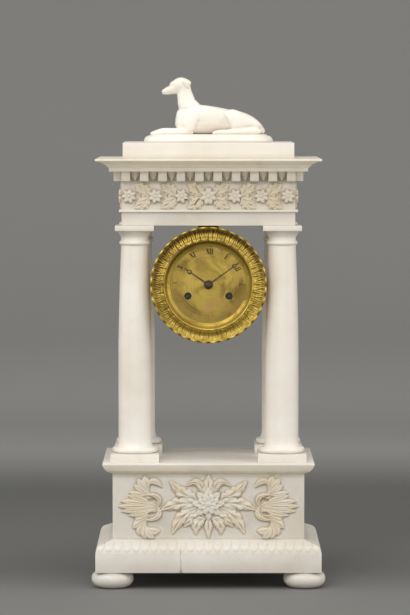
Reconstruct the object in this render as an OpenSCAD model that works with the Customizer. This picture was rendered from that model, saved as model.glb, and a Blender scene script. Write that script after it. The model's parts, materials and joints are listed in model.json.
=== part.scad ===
// Portico clock: an alabaster temple of four columns with a gilt drum clock hung in it.
// Millimetres, +Z up, the front faces -Y, the origin is on the floor under the middle.

/* [Feet] */
// Widest diameter of a bun foot
foot_d = 41.5; // [34:0.5:46]
// Height of a bun foot
foot_h = 16; // [12:0.5:22]
// Diameter of the flat that a foot stands on
foot_flat_d = 26; // [16:0.5:30]
// How far a foot shows past the sides of the plinth
foot_stand_out = 4.2; // [0:0.1:8]

/* [Pedestal] */
// Width of the plinth
plinth_w = 222; // [214:1:240]
// Depth of the plinth
plinth_d = 166.8; // [160:0.2:185]
// Height of the plinth's upright face
plinth_face_h = 21; // [16:0.5:28]
// Height of the plinth's sloped leaf band
plinth_slope_h = 10.5; // [7:0.5:14]
// Width of the die, the block between plinth and cap
die_w = 188.7; // [180:0.1:196]
// Depth of the die
die_d = 133.4; // [126:0.2:142]
// Height of the die
die_h = 64.5; // [58:0.5:80]
// Wall of the hollow die
die_wall = 12; // [8:0.5:16]
// Width of the cap slab
cap_w = 208.3; // [200:0.1:216]
// Depth of the cap slab
cap_d = 153; // [146:0.5:160]
// Height of the slope under the edge of the cap
cap_slope_h = 9.5; // [5:0.5:12]
// Thickness of the cap's edge
cap_fillet_h = 1.5; // [1:0.5:6]
// How far the carving stands out from the die
die_carving_h = 6; // [3:0.5:8]

/* [Columns] */
// Distance of the column axes from the middle, sideways
column_x = 72.6; // [71.5:0.1:75]
// Distance of the column axes from the middle, front to back
column_y = 45; // [43:0.5:48]
// Side of the square block under a column
column_plinth_w = 47.8; // [44:0.1:50]
// Height of that block
column_plinth_h = 8.3; // [6:0.1:11]
// Diameter of the torus
torus_d = 45.2; // [40:0.1:47]
// Height of the torus
torus_h = 6; // [4:0.1:8]
// Diameter of the ring above the torus
ring_d = 38.4; // [36:0.1:40]
// Height of the whole foot of a column, up to the shaft
column_foot_h = 17.1; // [14:0.1:20]
// Diameter of the shaft over its lower half
shaft_d = 32.8; // [30:0.1:33.6]
// Diameter of the shaft at its top
shaft_top_d = 27; // [24:0.1:29]
// Height of a column from its block to its abacus
column_h = 219.5; // [216:0.5:240]
// Diameter of the ring under the capital
astragal_d = 30.6; // [29:0.1:33]
// Diameter of the capital under its abacus
echinus_d = 34; // [31:0.1:36]
// Side of the abacus
abacus_w = 38.3; // [36:0.1:41]
// Height of the abacus
abacus_h = 5.2; // [4:0.1:8]

/* [Entablature] */
// Width of architrave and frieze
architrave_w = 170.6; // [166:0.1:178]
// Depth of architrave and frieze
architrave_d = 115.4; // [112:0.2:120]
// Height of the plain architrave
architrave_h = 13; // [10:0.5:18]
// Height of the fillet on the architrave
taenia_h = 2.6; // [1.5:0.1:4]
// How far that fillet stands out
taenia_out = 2.7; // [1:0.1:4]
// Height of the carved frieze
frieze_h = 28.1; // [26:0.1:36]
// Wall of the hollow frieze
frieze_wall = 7; // [5:0.5:8]
// How far the garland stands out from the frieze
garland_h = 3.2; // [2:0.1:4.5]
// Height of the dentils
dentil_h = 9.7; // [7:0.1:13]
// Width of a dentil
dentil_w = 8.6; // [6:0.1:11]
// How far a dentil stands out
dentil_out = 7.8; // [4:0.1:10]
// Number of dentils across the front
dentils_front = 10; // [8:1:11]
// Number of dentils along a side
dentils_side = 7; // [5:1:8]
// How far the bottom of the cornice stands out
cornice_low_out = 12.1; // [11:0.1:15]
// How far the tip of the cornice stands out
cornice_tip_out = 25.4; // [20:0.1:27]
// Height of the cornice
cornice_h = 12.2; // [10:0.1:18]
// Width of the attic block
attic_w = 168.5; // [150:0.5:176]
// Depth of the attic block
attic_d = 113; // [100:0.5:120]
// Height of the attic block
attic_h = 17.1; // [14:0.1:24]

/* [Figure] */
// Length of the figure's base
figure_base_w = 128.7; // [124:0.1:140]
// Depth of the figure's base
figure_base_d = 54; // [50:0.5:70]
// Height of the figure's base
figure_base_h = 7.7; // [5:0.1:10]

/* [Clock drum] */
// Gap between the top of the bezel and the architrave
bezel_gap = 1; // [0.5:0.1:4]
// Outer diameter of the bezel
bezel_d = 114.4; // [108:0.1:114.8]
// Depth of the bezel, front to back
bezel_depth = 11.5; // [9:0.5:13]
// How deep the bezel's leaf band is hollowed
leaf_hollow = 3; // [1:0.1:3.5]
// Inner diameter of the bezel's leaf band
leaf_band_d = 86.6; // [84:0.1:90]
// Diameter of the dial that shows
dial_seen_d = 75; // [72:0.1:78]
// Diameter of the whole dial plate
dial_d = 86; // [84:0.1:87]
// Thickness of the dial plate
dial_t = 1.5; // [1:0.1:2]
// Diameter of a winding hole
winding_hole_d = 7; // [6:0.1:9]
// Wall of the drum
drum_wall = 1.2; // [0.8:0.1:1.4]
// Gap between the drum and the plates in it, all round
drum_gap = 1.5; // [1:0.1:2]
// Front face of the bezel, measured forward from the middle of the clock
bezel_front = 66; // [65:0.5:72]

/* [Movement] */
// How much smaller the two plates are than the dial, all round
plate_inset = 0.5; // [0.3:0.1:0.8]
// Thickness of a plate
plate_t = 2.5; // [1.5:0.1:3]
// Clear distance between the plates
plate_gap = 32; // [32:0.5:36]
// Space for the motion work, between dial and front plate
motion_gap = 7; // [6.8:0.1:8]
// Radius of a heavy wheel arbor
arbor_r = 1.3; // [1.1:0.05:1.35]
// Radius of a heavy arbor's pivot
pivot_r = 0.9; // [0.6:0.05:1]
// Radius of a fine wheel arbor
fine_arbor_r = 0.48; // [0.42:0.01:0.5]
// Radius of a fine arbor's pivot
fine_pivot_r = 0.36; // [0.3:0.01:0.4]
// Radius of a winding arbor
winding_r = 2.6; // [2.4:0.05:2.9]
// Running clearance of a pivot, all round
pivot_clear = 0.04; // [0.02:0.01:0.08]
// Height of the bell
bell_h = 18.5; // [16:0.5:22]
// Radius of the bell at its mouth
bell_r = 27; // [25:0.5:28]
// Wall of the bell
bell_wall = 1.6; // [1.2:0.1:2.5]
// Radius of the pendulum bob
bob_r = 9; // [6:0.5:10]
// Length of the pendulum, from its axis to the middle of the bob
pendulum_l = 80; // [76:0.5:81]

/* [Rods] */
// Radius of the iron rods that hold the case together
tie_rod_r = 2.5; // [2:0.1:3]
// Clearance of a rod in the stone, all round
rod_clear = 0.4; // [0.2:0.1:0.8]
// Width of a rod's nut, across its corners
rod_nut_d = 11; // [9.5:0.1:12]
// Height of a rod's nut
rod_nut_h = 5; // [4:0.1:6]
// Radius of a dowel
dowel_r = 4; // [3:0.1:5]
// Length of a dowel
dowel_l = 16; // [12:0.5:20]

/* [Hidden] */
$fn = 48;
fit = 0.05;
seat_gap = 0.3;

// Heights of the stone courses
plinth_z = foot_h;
die_z = plinth_z + plinth_face_h + plinth_slope_h;
cap_z = die_z + die_h;
column_plinth_z = cap_z + cap_slope_h + cap_fillet_h;
column_z = column_plinth_z + column_plinth_h;
abacus_z = column_z + column_h;
architrave_z = abacus_z + abacus_h;
frieze_z = architrave_z + architrave_h + taenia_h;
dentil_z = frieze_z + frieze_h;
cornice_z = dentil_z + dentil_h;
attic_z = cornice_z + cornice_h;
figure_z = attic_z + attic_h;
figure_base_top = figure_z + figure_base_h;

// Corners, as signs of X and Y, and their names
CORNERS = [[-1, -1], [1, -1], [-1, 1], [1, 1]];
foot_x = plinth_w / 2 + foot_stand_out - foot_d / 2;
foot_y = plinth_d / 2 + foot_stand_out - foot_d / 2;
nut_pocket_h = rod_nut_h + 4;
rod_end = 3;

// Height of the middle of the dial
dial_z = architrave_z - bezel_gap - bezel_d / 2;

// Diameters of the two plates and of the drum round them
plate_d = dial_d - 2 * plate_inset;
drum_d = plate_d + 2 * drum_gap + 2 * drum_wall;

// Depths of the drum and the movement, along Y
bezel_y = -bezel_front;
drum_y = bezel_y + bezel_depth;
dial_y = drum_y - 1.5;
dial_front_y = dial_y - dial_t;
plate_front_y = dial_y + motion_gap;
train_y = plate_front_y + plate_t;
back_plate_y = train_y + plate_gap;
back_y = back_plate_y + plate_t;
rear_ring_t = 1.6;
rear_ring_hole_r = plate_d / 2 - 3;

// Places of the arbors on the plates, as X and height from the middle of the dial
CENTRE = [0, 0];
GOING = [20.2, -11];
STRIKE = [-20.2, -11];
BETWEEN = [14, 9.7];
THIRD = [-7.4, 11.4];
ESCAPE = [0, 20];
PALLET = [0, 35];
STRIKE_SECOND = [-24, 10.7];
PIN_WHEEL = [-19, 19.5];
FLY = [-11.5, 23.7];
HAMMER = [-29.5, 24];
MINUTE_STUD = [0, 12];
BELL = [0, -5];
BELL_POST = [33.5, 0];
PILLARS = [[-19, 31.5], [24, 27.5], [-14, -34], [14, -34]];
DIAL_FEET = [[0, -31], [-27, 22], [27, 22]];
centre_r = 1.6;
cannon_r = 2.4;
hour_pipe_r = 3.2;
hole_margin = 0.3;

// Tooth counts of the wheels and pinions
barrel_n = 84;
barrel_pinion_n = 14;
between_n = 64;
centre_pinion_n = 8;
centre_n = 84;
third_pinion_n = 7;
third_n = 75;
escape_pinion_n = 6;
escape_n = 42;
second_n = 78;
pin_pinion_n = 8;
pin_n = 60;
fly_pinion_n = 6;
cannon_n = 12;
minute_n = 36;
minute_pinion_n = 10;
hour_n = 40;
pins_n = 8;

// Levels of the wheels, measured back from the front plate
barrel_0 = 5;
barrel_1 = 22;
barrel_rim = 19.5;
barrel_cap = 1.5;
centre_wheel_at = 1.8;
third_wheel_at = 23.4;
between_wheel_at = 26;
second_wheel_at = 25.4;
pin_wheel_at = 8;
escape_wheel_at = plate_gap - 3.2;
wheel_t = 1.3;
pinion_over = 1;

// Levels behind the back plate
count_wheel_y = back_y + 1;
crutch_y = back_y + 2.4;
crutch_t = 1;
cock_y = back_y + 5;
cock_t = 2;
pendulum_y = cock_y + cock_t + 1.5;
bell_y = pendulum_y + 3;

// The bezel's rim and the ridge inside its leaf band
rim_w = 2;
rim_back = 1.9;
ridge_w = 1.6;
// Levels in front of the front plate
cannon_y = plate_front_y - 0.5;
minute_wheel_y = plate_front_y - 0.8;
minute_pinion_y = plate_front_y - 2.2;
hour_wheel_y = plate_front_y - 3.2;
hour_hand_y = dial_front_y - 1.2;
minute_hand_y = hour_hand_y - 2;
hand_t = 0.8;
minute_hand_l = dial_seen_d / 2 - 0.3;
hour_hand_l = dial_seen_d * 0.38;
hand_tip = 6;
hour_angle = 304.5;
minute_angle = 54;

ALABASTER = [0.93, 0.90, 0.84];
WARM_STONE = [0.82, 0.76, 0.65];
GILT = [0.62, 0.50, 0.27];
BRASS = [0.72, 0.58, 0.32];
STEEL = [0.55, 0.55, 0.57];
BLUED = [0.10, 0.11, 0.16];
IRON = [0.30, 0.29, 0.28];
WOOD = [0.55, 0.40, 0.25];

// Shared shapes

// A rectangular block with mouldings, from its widths at each height: [stand out, height]
module moulded_block(w, d, steps) {
    reach = max([for (s = steps) s[0]]);
    intersection() {
        rotate([90, 0, 0])
            linear_extrude(d + 2 * reach + 2, center = true)
                mirrored_profile(w / 2, steps);
        rotate([90, 0, 90])
            linear_extrude(w + 2 * reach + 2, center = true)
                mirrored_profile(d / 2, steps);
    }
}

module mirrored_profile(half, steps) {
    n = len(steps);
    polygon(concat([for (s = steps) [half + s[0], s[1]]],
        [for (i = [n - 1:-1:0]) [-half - steps[i][0], steps[i][1]]]));
}

// Steps of a moulding between two corners; bulge 1 swells outwards, -1 is hollow
function curve_steps(out_0, z_0, out_1, z_1, bulge, parts = 6) =
    [for (i = [0:parts]) let (a = 90 * i / parts, u = bulge > 0 ? 1 - cos(a) : sin(a),
        v = bulge > 0 ? sin(a) : 1 - cos(a))
        [out_0 + (out_1 - out_0) * u, z_0 + (z_1 - z_0) * v]];

module box_between(x0, x1, y0, y1, z0, z1) {
    translate([x0, y0, z0])
        cube([x1 - x0, y1 - y0, z1 - z0]);
}

// Puts a shape on the dial's axes at a depth: its own Z then points to the front
module at_dial(place, y) {
    translate([place[0], y, dial_z + place[1]])
        rotate([90, 0, 0])
            children();
}

module round_bar(place, y0, y1, r) {
    at_dial(place, y1)
        cylinder(h = y1 - y0, r = r);
}

module slice(place, y0, y1) {
    at_dial(place, y1)
        linear_extrude(y1 - y0)
            children();
}

// Wheels and pinions

function between(a, b, t) = a + (b - a) * t;
function bearing_of(a, b) = atan2(b[1] - a[1], b[0] - a[0]);
function between_of(a, b) = norm([b[0] - a[0], b[1] - a[1]]);
function module_of(a, b, n_a, n_b) = 2 * between_of(a, b) / (n_a + n_b);

// Angle of a tooth of the second wheel, so that it meshes with the first
function mesh_phase(a, b, n_a, n_b, phase_a) =
    let (t = bearing_of(a, b))
    t + 180 - n_a / n_b * (phase_a - t) - 180 / n_b;

tooth_tip = 0.10;
tooth_root = 0.22;
tooth_rise = 0.75;
tooth_fall = 1.1;

function tooth_ring(n, m, phase) =
    [for (i = [0:n - 1], c = [[-tooth_root, -tooth_fall], [-tooth_tip, tooth_rise],
            [tooth_tip, tooth_rise], [tooth_root, -tooth_fall]])
        let (a = phase + 360 * (i + c[0]) / n, r = n * m / 2 + c[1] * m)
        [r * cos(a), r * sin(a)]];

// A thin wheel with its teeth and five round openings
module toothed_wheel(n, m, phase, hub_r) {
    rim = n * m / 2 - 3.2 * m;
    hole_at = (rim + hub_r) / 2;
    hole_r = min((rim - hub_r) / 2 - 0.5, hole_at * sin(36) - 0.6);
    difference() {
        polygon(tooth_ring(n, m, phase));
        for (i = [0:4])
            rotate(72 * i)
                translate([hole_at, 0])
                    circle(r = hole_r);
    }
}

// An arbor between the plates, with its two pivots; the rear one may reach past the plate
module wheel_arbor(place, r, end_r, rear = 0) {
    round_bar(place, train_y + seat_gap, back_plate_y - seat_gap, r);
    round_bar(place, plate_front_y, train_y + seat_gap, end_r);
    round_bar(place, back_plate_y - seat_gap, back_y + rear, end_r);
}

module heavy_arbor(place, rear = 0) {
    wheel_arbor(place, arbor_r, pivot_r, rear);
}

module fine_arbor(place) {
    wheel_arbor(place, fine_arbor_r, fine_pivot_r);
}

module wheel_on(place, at, n, m, phase, hub_r = 3) {
    slice(place, train_y + at, train_y + at + wheel_t)
        toothed_wheel(n, m, phase, hub_r);
}

module pinion_on(place, at, n, m, phase, thickness = wheel_t) {
    slice(place, train_y + at - pinion_over, train_y + at + thickness + pinion_over)
        polygon(tooth_ring(n, m, phase));
}

// Modules and phases of the going train
barrel_m = module_of(GOING, BETWEEN, barrel_n, barrel_pinion_n);
between_m = module_of(BETWEEN, CENTRE, between_n, centre_pinion_n);
centre_m = module_of(CENTRE, THIRD, centre_n, third_pinion_n);
third_m = module_of(THIRD, ESCAPE, third_n, escape_pinion_n);
between_pinion_phase = mesh_phase(GOING, BETWEEN, barrel_n, barrel_pinion_n, 0);
centre_pinion_phase = mesh_phase(BETWEEN, CENTRE, between_n, centre_pinion_n, 0);
third_pinion_phase = mesh_phase(CENTRE, THIRD, centre_n, third_pinion_n, 0);
escape_pinion_phase = mesh_phase(THIRD, ESCAPE, third_n, escape_pinion_n, 0);

// Modules and phases of the striking train
strike_m = module_of(STRIKE, STRIKE_SECOND, barrel_n, barrel_pinion_n);
second_m = module_of(STRIKE_SECOND, PIN_WHEEL, second_n, pin_pinion_n);
pin_m = module_of(PIN_WHEEL, FLY, pin_n, fly_pinion_n);
second_pinion_phase = mesh_phase(STRIKE, STRIKE_SECOND, barrel_n, barrel_pinion_n, 0);
pin_pinion_phase = mesh_phase(STRIKE_SECOND, PIN_WHEEL, second_n, pin_pinion_n, 0);
fly_pinion_phase = mesh_phase(PIN_WHEEL, FLY, pin_n, fly_pinion_n, 0);

// Modules and phases of the motion work
motion_m = module_of(CENTRE, MINUTE_STUD, cannon_n, minute_n);
hour_m = module_of(MINUTE_STUD, CENTRE, minute_pinion_n, hour_n);
minute_wheel_phase = mesh_phase(CENTRE, MINUTE_STUD, cannon_n, minute_n, 0);
hour_wheel_phase = mesh_phase(MINUTE_STUD, CENTRE, minute_pinion_n, hour_n, 0);

// Feet and pedestal

module foot(corner) {
    r = foot_d / 2;
    flat = foot_flat_d / 2;
    low = foot_h * 0.45;
    top = r * 0.8;
    color(ALABASTER)
        translate([corner[0] * foot_x, corner[1] * foot_y, 0])
            difference() {
                rotate_extrude()
                    polygon(concat([[0, 0], [flat, 0]],
                        [for (a = [10:10:90]) [flat + (r - flat) * sin(a), low * (1 - cos(a))]],
                        [for (a = [80:-10:0]) [top + (r - top) * sin(a), low + (foot_h - low) * cos(a)]],
                        [[0, foot_h]]));
                translate([0, 0, foot_h - dowel_l / 2])
                    cylinder(h = dowel_l, r = dowel_r + fit);
            }
}

module plinth() {
    slope_z = plinth_z + plinth_face_h;
    run = (die_w - plinth_w) / 2;
    run_d = (die_d - plinth_d) / 2;
    steps = curve_steps(0, slope_z, 1, slope_z + plinth_slope_h, 1);
    color(ALABASTER)
        difference() {
            intersection() {
                rotate([90, 0, 0])
                    linear_extrude(plinth_d + 2, center = true)
                        mirrored_profile(plinth_w / 2,
                            concat([[0, plinth_z]], [for (s = steps) [s[0] * run, s[1]]]));
                rotate([90, 0, 90])
                    linear_extrude(plinth_w + 2, center = true)
                        mirrored_profile(plinth_d / 2,
                            concat([[0, plinth_z]], [for (s = steps) [s[0] * run_d, s[1]]]));
            }
            for (c = CORNERS) {
                translate([c[0] * column_x, c[1] * column_y, plinth_z - 1]) {
                    cylinder(h = nut_pocket_h + 1, r = rod_nut_d / 2 + 2);
                    cylinder(h = plinth_face_h + plinth_slope_h + 2, r = tie_rod_r + rod_clear);
                }
                translate([c[0] * foot_x, c[1] * foot_y, plinth_z - 1])
                    cylinder(h = dowel_l / 2 + 1, r = dowel_r + fit);
            }
        }
}

module die() {
    color(ALABASTER)
        difference() {
            box_between(-die_w / 2, die_w / 2, -die_d / 2, die_d / 2, die_z, cap_z);
            box_between(-die_w / 2 + die_wall, die_w / 2 - die_wall,
                -die_d / 2 + die_wall, die_d / 2 - die_wall, die_z - 1, cap_z + 1);
        }
}

// A pointed leaf along +X, from its root at the origin
module leaf(l, w) {
    polygon(concat([for (i = [0:8]) [l * i / 8, w / 2 * sin(180 * pow(i / 8, 0.8))]],
        [for (i = [7:-1:1]) [l * i / 8, -w / 2 * sin(180 * pow(i / 8, 0.8))]]));
}

// A flower with rounded petals
module flower(r, petals) {
    polygon([for (a = [0:360 / petals / 6:359.9]) let (q = r * (0.82 + 0.18 * cos(petals * a)))
        [q * cos(a), q * sin(a)]]);
}

// Leaves of the middle spray and of one scroll: root X, root height, bearing, length, width
SPRAY = [[0, 0, 90, 29, 11], [0, 0, -90, 33, 12], [8, -1, 0, 38, 12], [7, 5, 32, 36, 11],
    [7, -6, -36, 36, 13], [4, 9, 62, 22, 9], [4, -10, -62, 24, 11]];
SCROLL = [[48, -2, 0, 41, 17], [50, 2, 40, 33, 16], [50, -6, -42, 33, 16],
    [52, 6, 78, 24, 13], [52, -9, -78, 23, 13], [64, 25, 160, 18, 9], [64, -29, -160, 17, 9]];
// The two tables above are drawn for a die of this height, with the flower this far up
carving_drawn_h = 64.5;
spray_drawn_z = 34.5;
spray_flower_r = 14;

module die_carving() {
    drawn = die_h / carving_drawn_h;
    spray_z = spray_drawn_z * drawn;
    color(WARM_STONE)
        translate([0, -die_d / 2, die_z + spray_z])
            rotate([90, 0, 0])
                linear_extrude(die_carving_h)
                    intersection() {
                        scale([drawn, drawn]) {
                            flower(spray_flower_r, 8);
                            for (side = [0, 1], s = concat(SPRAY, SCROLL))
                                mirror([side, 0])
                                    translate([s[0], s[1]])
                                        rotate(s[2])
                                            leaf(s[3], s[4]);
                        }
                        translate([-die_w / 2, -spray_z])
                            square([die_w, die_h]);
                    }
}

module cap_slab() {
    out = (cap_w - die_w) / 2;
    out_d = (cap_d - die_d) / 2;
    steps = [[0, cap_z], [1, cap_z + cap_slope_h]];
    top = cap_z + cap_slope_h + cap_fillet_h;
    color(ALABASTER)
        difference() {
            intersection() {
                rotate([90, 0, 0])
                    linear_extrude(cap_d + 2, center = true)
                        mirrored_profile(die_w / 2,
                            concat([for (s = steps) [s[0] * out, s[1]]], [[out, top]]));
                rotate([90, 0, 90])
                    linear_extrude(cap_w + 2, center = true)
                        mirrored_profile(die_d / 2,
                            concat([for (s = steps) [s[0] * out_d, s[1]]], [[out_d, top]]));
            }
            rod_holes(cap_z - 1, top + 1);
        }
}

module rod_holes(z0, z1) {
    for (c = CORNERS)
        translate([c[0] * column_x, c[1] * column_y, z0])
            cylinder(h = z1 - z0, r = tie_rod_r + rod_clear);
}

// Columns

module column_blocks(w, z, h) {
    difference() {
        for (c = CORNERS)
            translate([c[0] * column_x - w / 2, c[1] * column_y - w / 2, z])
                cube([w, w, h]);
        rod_holes(z - 1, z + h + 1);
    }
}

module column_plinths() {
    color(ALABASTER)
        column_blocks(column_plinth_w, column_plinth_z, column_plinth_h);
}

module column_abaci() {
    color(ALABASTER)
        column_blocks(abacus_w, abacus_z, abacus_h);
}

module column(corner) {
    r = shaft_d / 2;
    r_top = shaft_top_d / 2;
    neck_h = 14.2;
    shaft_l = column_h - column_foot_h - neck_h;
    straight = 0.45;
    ring_z = torus_h + 2.6;
    ring_h = 4.6;
    astragal_h = 4.4;
    neck_z = column_h - neck_h + astragal_h;
    flare_z = neck_z + 3;
    color(ALABASTER)
        translate([corner[0] * column_x, corner[1] * column_y, column_z])
            difference() {
                rotate_extrude()
                    polygon(concat(
                        [[0, 0]],
                        [for (a = [-90:15:90])
                            [torus_d / 2 - torus_h / 2 + torus_h / 2 * cos(a), torus_h / 2 * (1 + sin(a))]],
                        [[ring_d / 2 - 1, torus_h + 0.6], [ring_d / 2, ring_z],
                            [ring_d / 2, ring_z + ring_h]],
                        [for (a = [15:15:90]) [r + (ring_d / 2 - 0.6 - r) * (1 - sin(a)),
                            ring_z + ring_h + (column_foot_h - ring_z - ring_h) * (1 - cos(a))]],
                        [for (i = [1:12]) let (u = i / 12, v = max(0, (u - straight) / (1 - straight)))
                            [r - (r - r_top) * pow(v, 1.6), column_foot_h + shaft_l * u]],
                        [for (a = [-60:30:90]) [r_top + (astragal_d / 2 - r_top) * cos(a),
                            neck_z - astragal_h / 2 + astragal_h / 2 * sin(a)]],
                        [[r_top - 0.1, neck_z + 0.4]],
                        [for (a = [0:15:90]) [r_top - 0.1 + (echinus_d / 2 - r_top) * (1 - cos(a)),
                            flare_z + (column_h - flare_z) * sin(a)]],
                        [[0, column_h]]));
                translate([0, 0, -1])
                    cylinder(h = column_h + 2, r = tie_rod_r + rod_clear);
            }
}

module tie_rods() {
    color(IRON)
        for (c = CORNERS)
            translate([c[0] * column_x, c[1] * column_y, plinth_z + 1])
                cylinder(h = frieze_z + rod_nut_h + rod_end - plinth_z - 1, r = tie_rod_r);
}

module rod_nut(place_z) {
    translate([0, 0, place_z])
        difference() {
            cylinder(h = rod_nut_h, d = rod_nut_d, $fn = 6);
            translate([0, 0, -1])
                cylinder(h = rod_nut_h + 2, r = tie_rod_r + fit);
        }
}

module tie_rod_nuts() {
    color(IRON)
        for (c = CORNERS)
            translate([c[0] * column_x, c[1] * column_y, 0]) {
                rod_nut(plinth_z + nut_pocket_h - rod_nut_h);
                rod_nut(frieze_z);
            }
}

module case_dowels() {
    color(WOOD) {
        for (c = CORNERS)
            translate([c[0] * foot_x, c[1] * foot_y, foot_h - dowel_l / 2])
                cylinder(h = dowel_l, r = dowel_r);
        for (side = [-1, 1])
            translate([side * attic_w / 4, 0, attic_z - dowel_l / 2])
                cylinder(h = dowel_l, r = dowel_r);
    }
}

// Entablature

hanger_x = 7;
hanger_d = 26;
hanger_y = (drum_y + back_y) / 2;
stud_r = 2.4;
hanger_w = 2 * (hanger_x + stud_r + 0.6);

module architrave() {
    color(ALABASTER)
        difference() {
            moulded_block(architrave_w, architrave_d, [[0, architrave_z], [0, architrave_z + architrave_h],
                [taenia_out, architrave_z + architrave_h], [taenia_out, frieze_z]]);
            rod_holes(architrave_z - 1, frieze_z + 1);
            for (side = [-1, 1])
                translate([side * hanger_x, hanger_y, architrave_z - 1])
                    cylinder(h = frieze_z - architrave_z + 2, r = stud_r + rod_clear);
        }
}

module frieze() {
    color(ALABASTER)
        difference() {
            box_between(-architrave_w / 2, architrave_w / 2, -architrave_d / 2, architrave_d / 2,
                frieze_z, dentil_z);
            box_between(-architrave_w / 2 + frieze_wall, architrave_w / 2 - frieze_wall,
                -architrave_d / 2 + frieze_wall, architrave_d / 2 - frieze_wall, frieze_z - 1, dentil_z + 1);
            for (c = CORNERS)
                translate([c[0] * column_x, c[1] * column_y, frieze_z - 1])
                    cylinder(h = rod_nut_h + rod_end + 2, r = rod_nut_d / 2 + 0.6);
        }
}

// The last flowers stand this far from the ends of the frieze
garland_end = 7.3;
garland_pitch = (architrave_w / 2 - garland_end) / 3;
garland_side_pitch = (architrave_d / 2 - garland_end) / 2;
garland_z = frieze_h * 0.47;
garland_mid_r = frieze_h * 0.27;
garland_flower_r = frieze_h * 0.2135;
garland_leaf_l = frieze_h * 0.55;

// Half a garland from the middle flower outwards
module garland_half(flowers, pitch) {
    for (i = [1:flowers]) {
        translate([pitch * i, 0])
            flower(garland_flower_r, 8);
        for (turn = [-1, 1])
            translate([pitch * (i - 0.72), 0])
                rotate(turn * 40)
                    leaf(garland_leaf_l, garland_leaf_l / 2);
    }
}

module garland(flowers, pitch) {
    linear_extrude(garland_h) {
        flower(garland_mid_r, 8);
        garland_half(flowers, pitch);
        mirror([1, 0])
            garland_half(flowers, pitch);
    }
}

module frieze_garland_front() {
    color(WARM_STONE)
        translate([0, -architrave_d / 2, frieze_z + garland_z])
            rotate([90, 0, 0])
                garland(3, garland_pitch);
}

module frieze_garland_sides() {
    color(WARM_STONE)
        for (side = [0, 1])
            mirror([side, 0, 0])
                translate([architrave_w / 2, 0, frieze_z + garland_z])
                    rotate([90, 0, 90])
                        garland(2, garland_side_pitch);
}

// A row of dentils along X, standing out to -Y
module dentil_row(count, w) {
    pitch = (w - dentil_w) / (count - 1);
    for (i = [0:count - 1])
        translate([-w / 2 + pitch * i, -dentil_out, dentil_z])
            cube([dentil_w, dentil_out + 1, dentil_h]);
}

module dentil_course() {
    color(ALABASTER) {
        box_between(-architrave_w / 2, architrave_w / 2, -architrave_d / 2, architrave_d / 2,
            dentil_z, cornice_z);
        for (back = [0, 1])
            rotate(180 * back)
                translate([0, -architrave_d / 2, 0])
                    dentil_row(dentils_front, architrave_w);
        for (side = [-1, 1])
            rotate(90 * side)
                translate([0, -architrave_w / 2, 0])
                    dentil_row(dentils_side, architrave_d);
    }
}

cornice_fascia_h = 3.6;
cornice_tip_h = 1.2;

module cornice() {
    slope_z = cornice_z + cornice_fascia_h;
    color(ALABASTER)
        difference() {
            moulded_block(architrave_w, architrave_d, concat(
                [[cornice_low_out, cornice_z], [cornice_low_out, slope_z]],
                [[cornice_low_out + 0.4, slope_z], [cornice_tip_out, attic_z - cornice_tip_h],
                    [cornice_tip_out, attic_z]]));
            dowel_holes();
        }
}

module dowel_holes() {
    for (side = [-1, 1])
        translate([side * attic_w / 4, 0, attic_z - dowel_l / 2])
            cylinder(h = dowel_l, r = dowel_r + fit);
}

module attic_block() {
    color(ALABASTER)
        difference() {
            box_between(-attic_w / 2, attic_w / 2, -attic_d / 2, attic_d / 2, attic_z, figure_z);
            dowel_holes();
        }
}

// Greyhound: each limb is a row of oval sections [x, y, z, half width, half height]

FIGURE_SIDES = 12;
FIGURE_STEPS = 3;

HOUND_BODY = [[55.6, 0, 2, 2, 2], [52.5, 0, 4.2, 6, 4], [48, 0, 6.6, 9.5, 6.6], [40, 0, 9.4, 12, 9.8],
    [30, 0, 11.6, 13, 11.6], [18, 0, 13, 12, 12.4], [5, 0, 14.2, 12, 13.8], [-9, 0, 15, 12.5, 14.8],
    [-21, 0, 15, 11.8, 14.6], [-29, 0, 15.6, 8.8, 11.2], [-33.4, 0, 17, 3.4, 5]];
HOUND_NECK = [[-13, 0, 18, 11, 11.5], [-17.5, 0, 24.5, 9.6, 10.6], [-20.8, 0, 30.5, 7.8, 9.1],
    [-21.9, 0, 36, 6.6, 8.2], [-23.2, 0, 43, 5.8, 7], [-24.5, 0, 50, 5.6, 6.8]];
HOUND_HEAD = [[-17.6, 0, 50.6, 2.5, 3.4], [-20.5, 0, 50.6, 5, 5.2], [-26.5, 0, 49.8, 6, 7.4],
    [-31.5, 0, 47.6, 5.5, 7.2], [-36, 0, 45.6, 4.6, 5.8], [-39.5, 0, 44.2, 3.7, 4.6], [-43, 0, 43, 3, 3.2],
    [-46, 0, 43, 2.1, 2.1], [-47.1, 0, 43.2, 1, 1]];
HOUND_FORELEG = [[-15.5, 8, 4.2, 3.6, 4.4], [-20, 8, 3.8, 3.7, 4.2], [-32, 7.6, 3, 3.2, 3.7],
    [-44, 7.2, 2.9, 3, 3.7], [-49, 7, 2.4, 3.1, 3.2], [-54, 6.9, 1.6, 3, 2.2], [-57.8, 6.8, 0.9, 1.6, 1.2]];
HOUND_SHOULDER = [[-10, 8, 23, 3, 4], [-14, 9.2, 18, 4.6, 8], [-18, 9.8, 11, 4.8, 8],
    [-17.5, 9, 4.5, 4.2, 4.6]];
HOUND_THIGH = [[46, 7.5, 9, 4.5, 6], [38, 9.5, 11, 5.6, 8.6], [30, 11, 12, 6, 11.4],
    [23.5, 11.6, 12.4, 5.2, 13.4], [20, 11.6, 11, 3, 12]];
HOUND_HIND = [[46, 11.5, 3.6, 3, 3.8], [36, 13.4, 3.2, 3.4, 3.2], [22, 14.4, 2.8, 3, 2.9],
    [11, 14.6, 2.4, 3, 2.6], [6, 14.6, 1.7, 2.3, 1.9], [4, 14.6, 1.1, 1.2, 1.1]];
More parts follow.
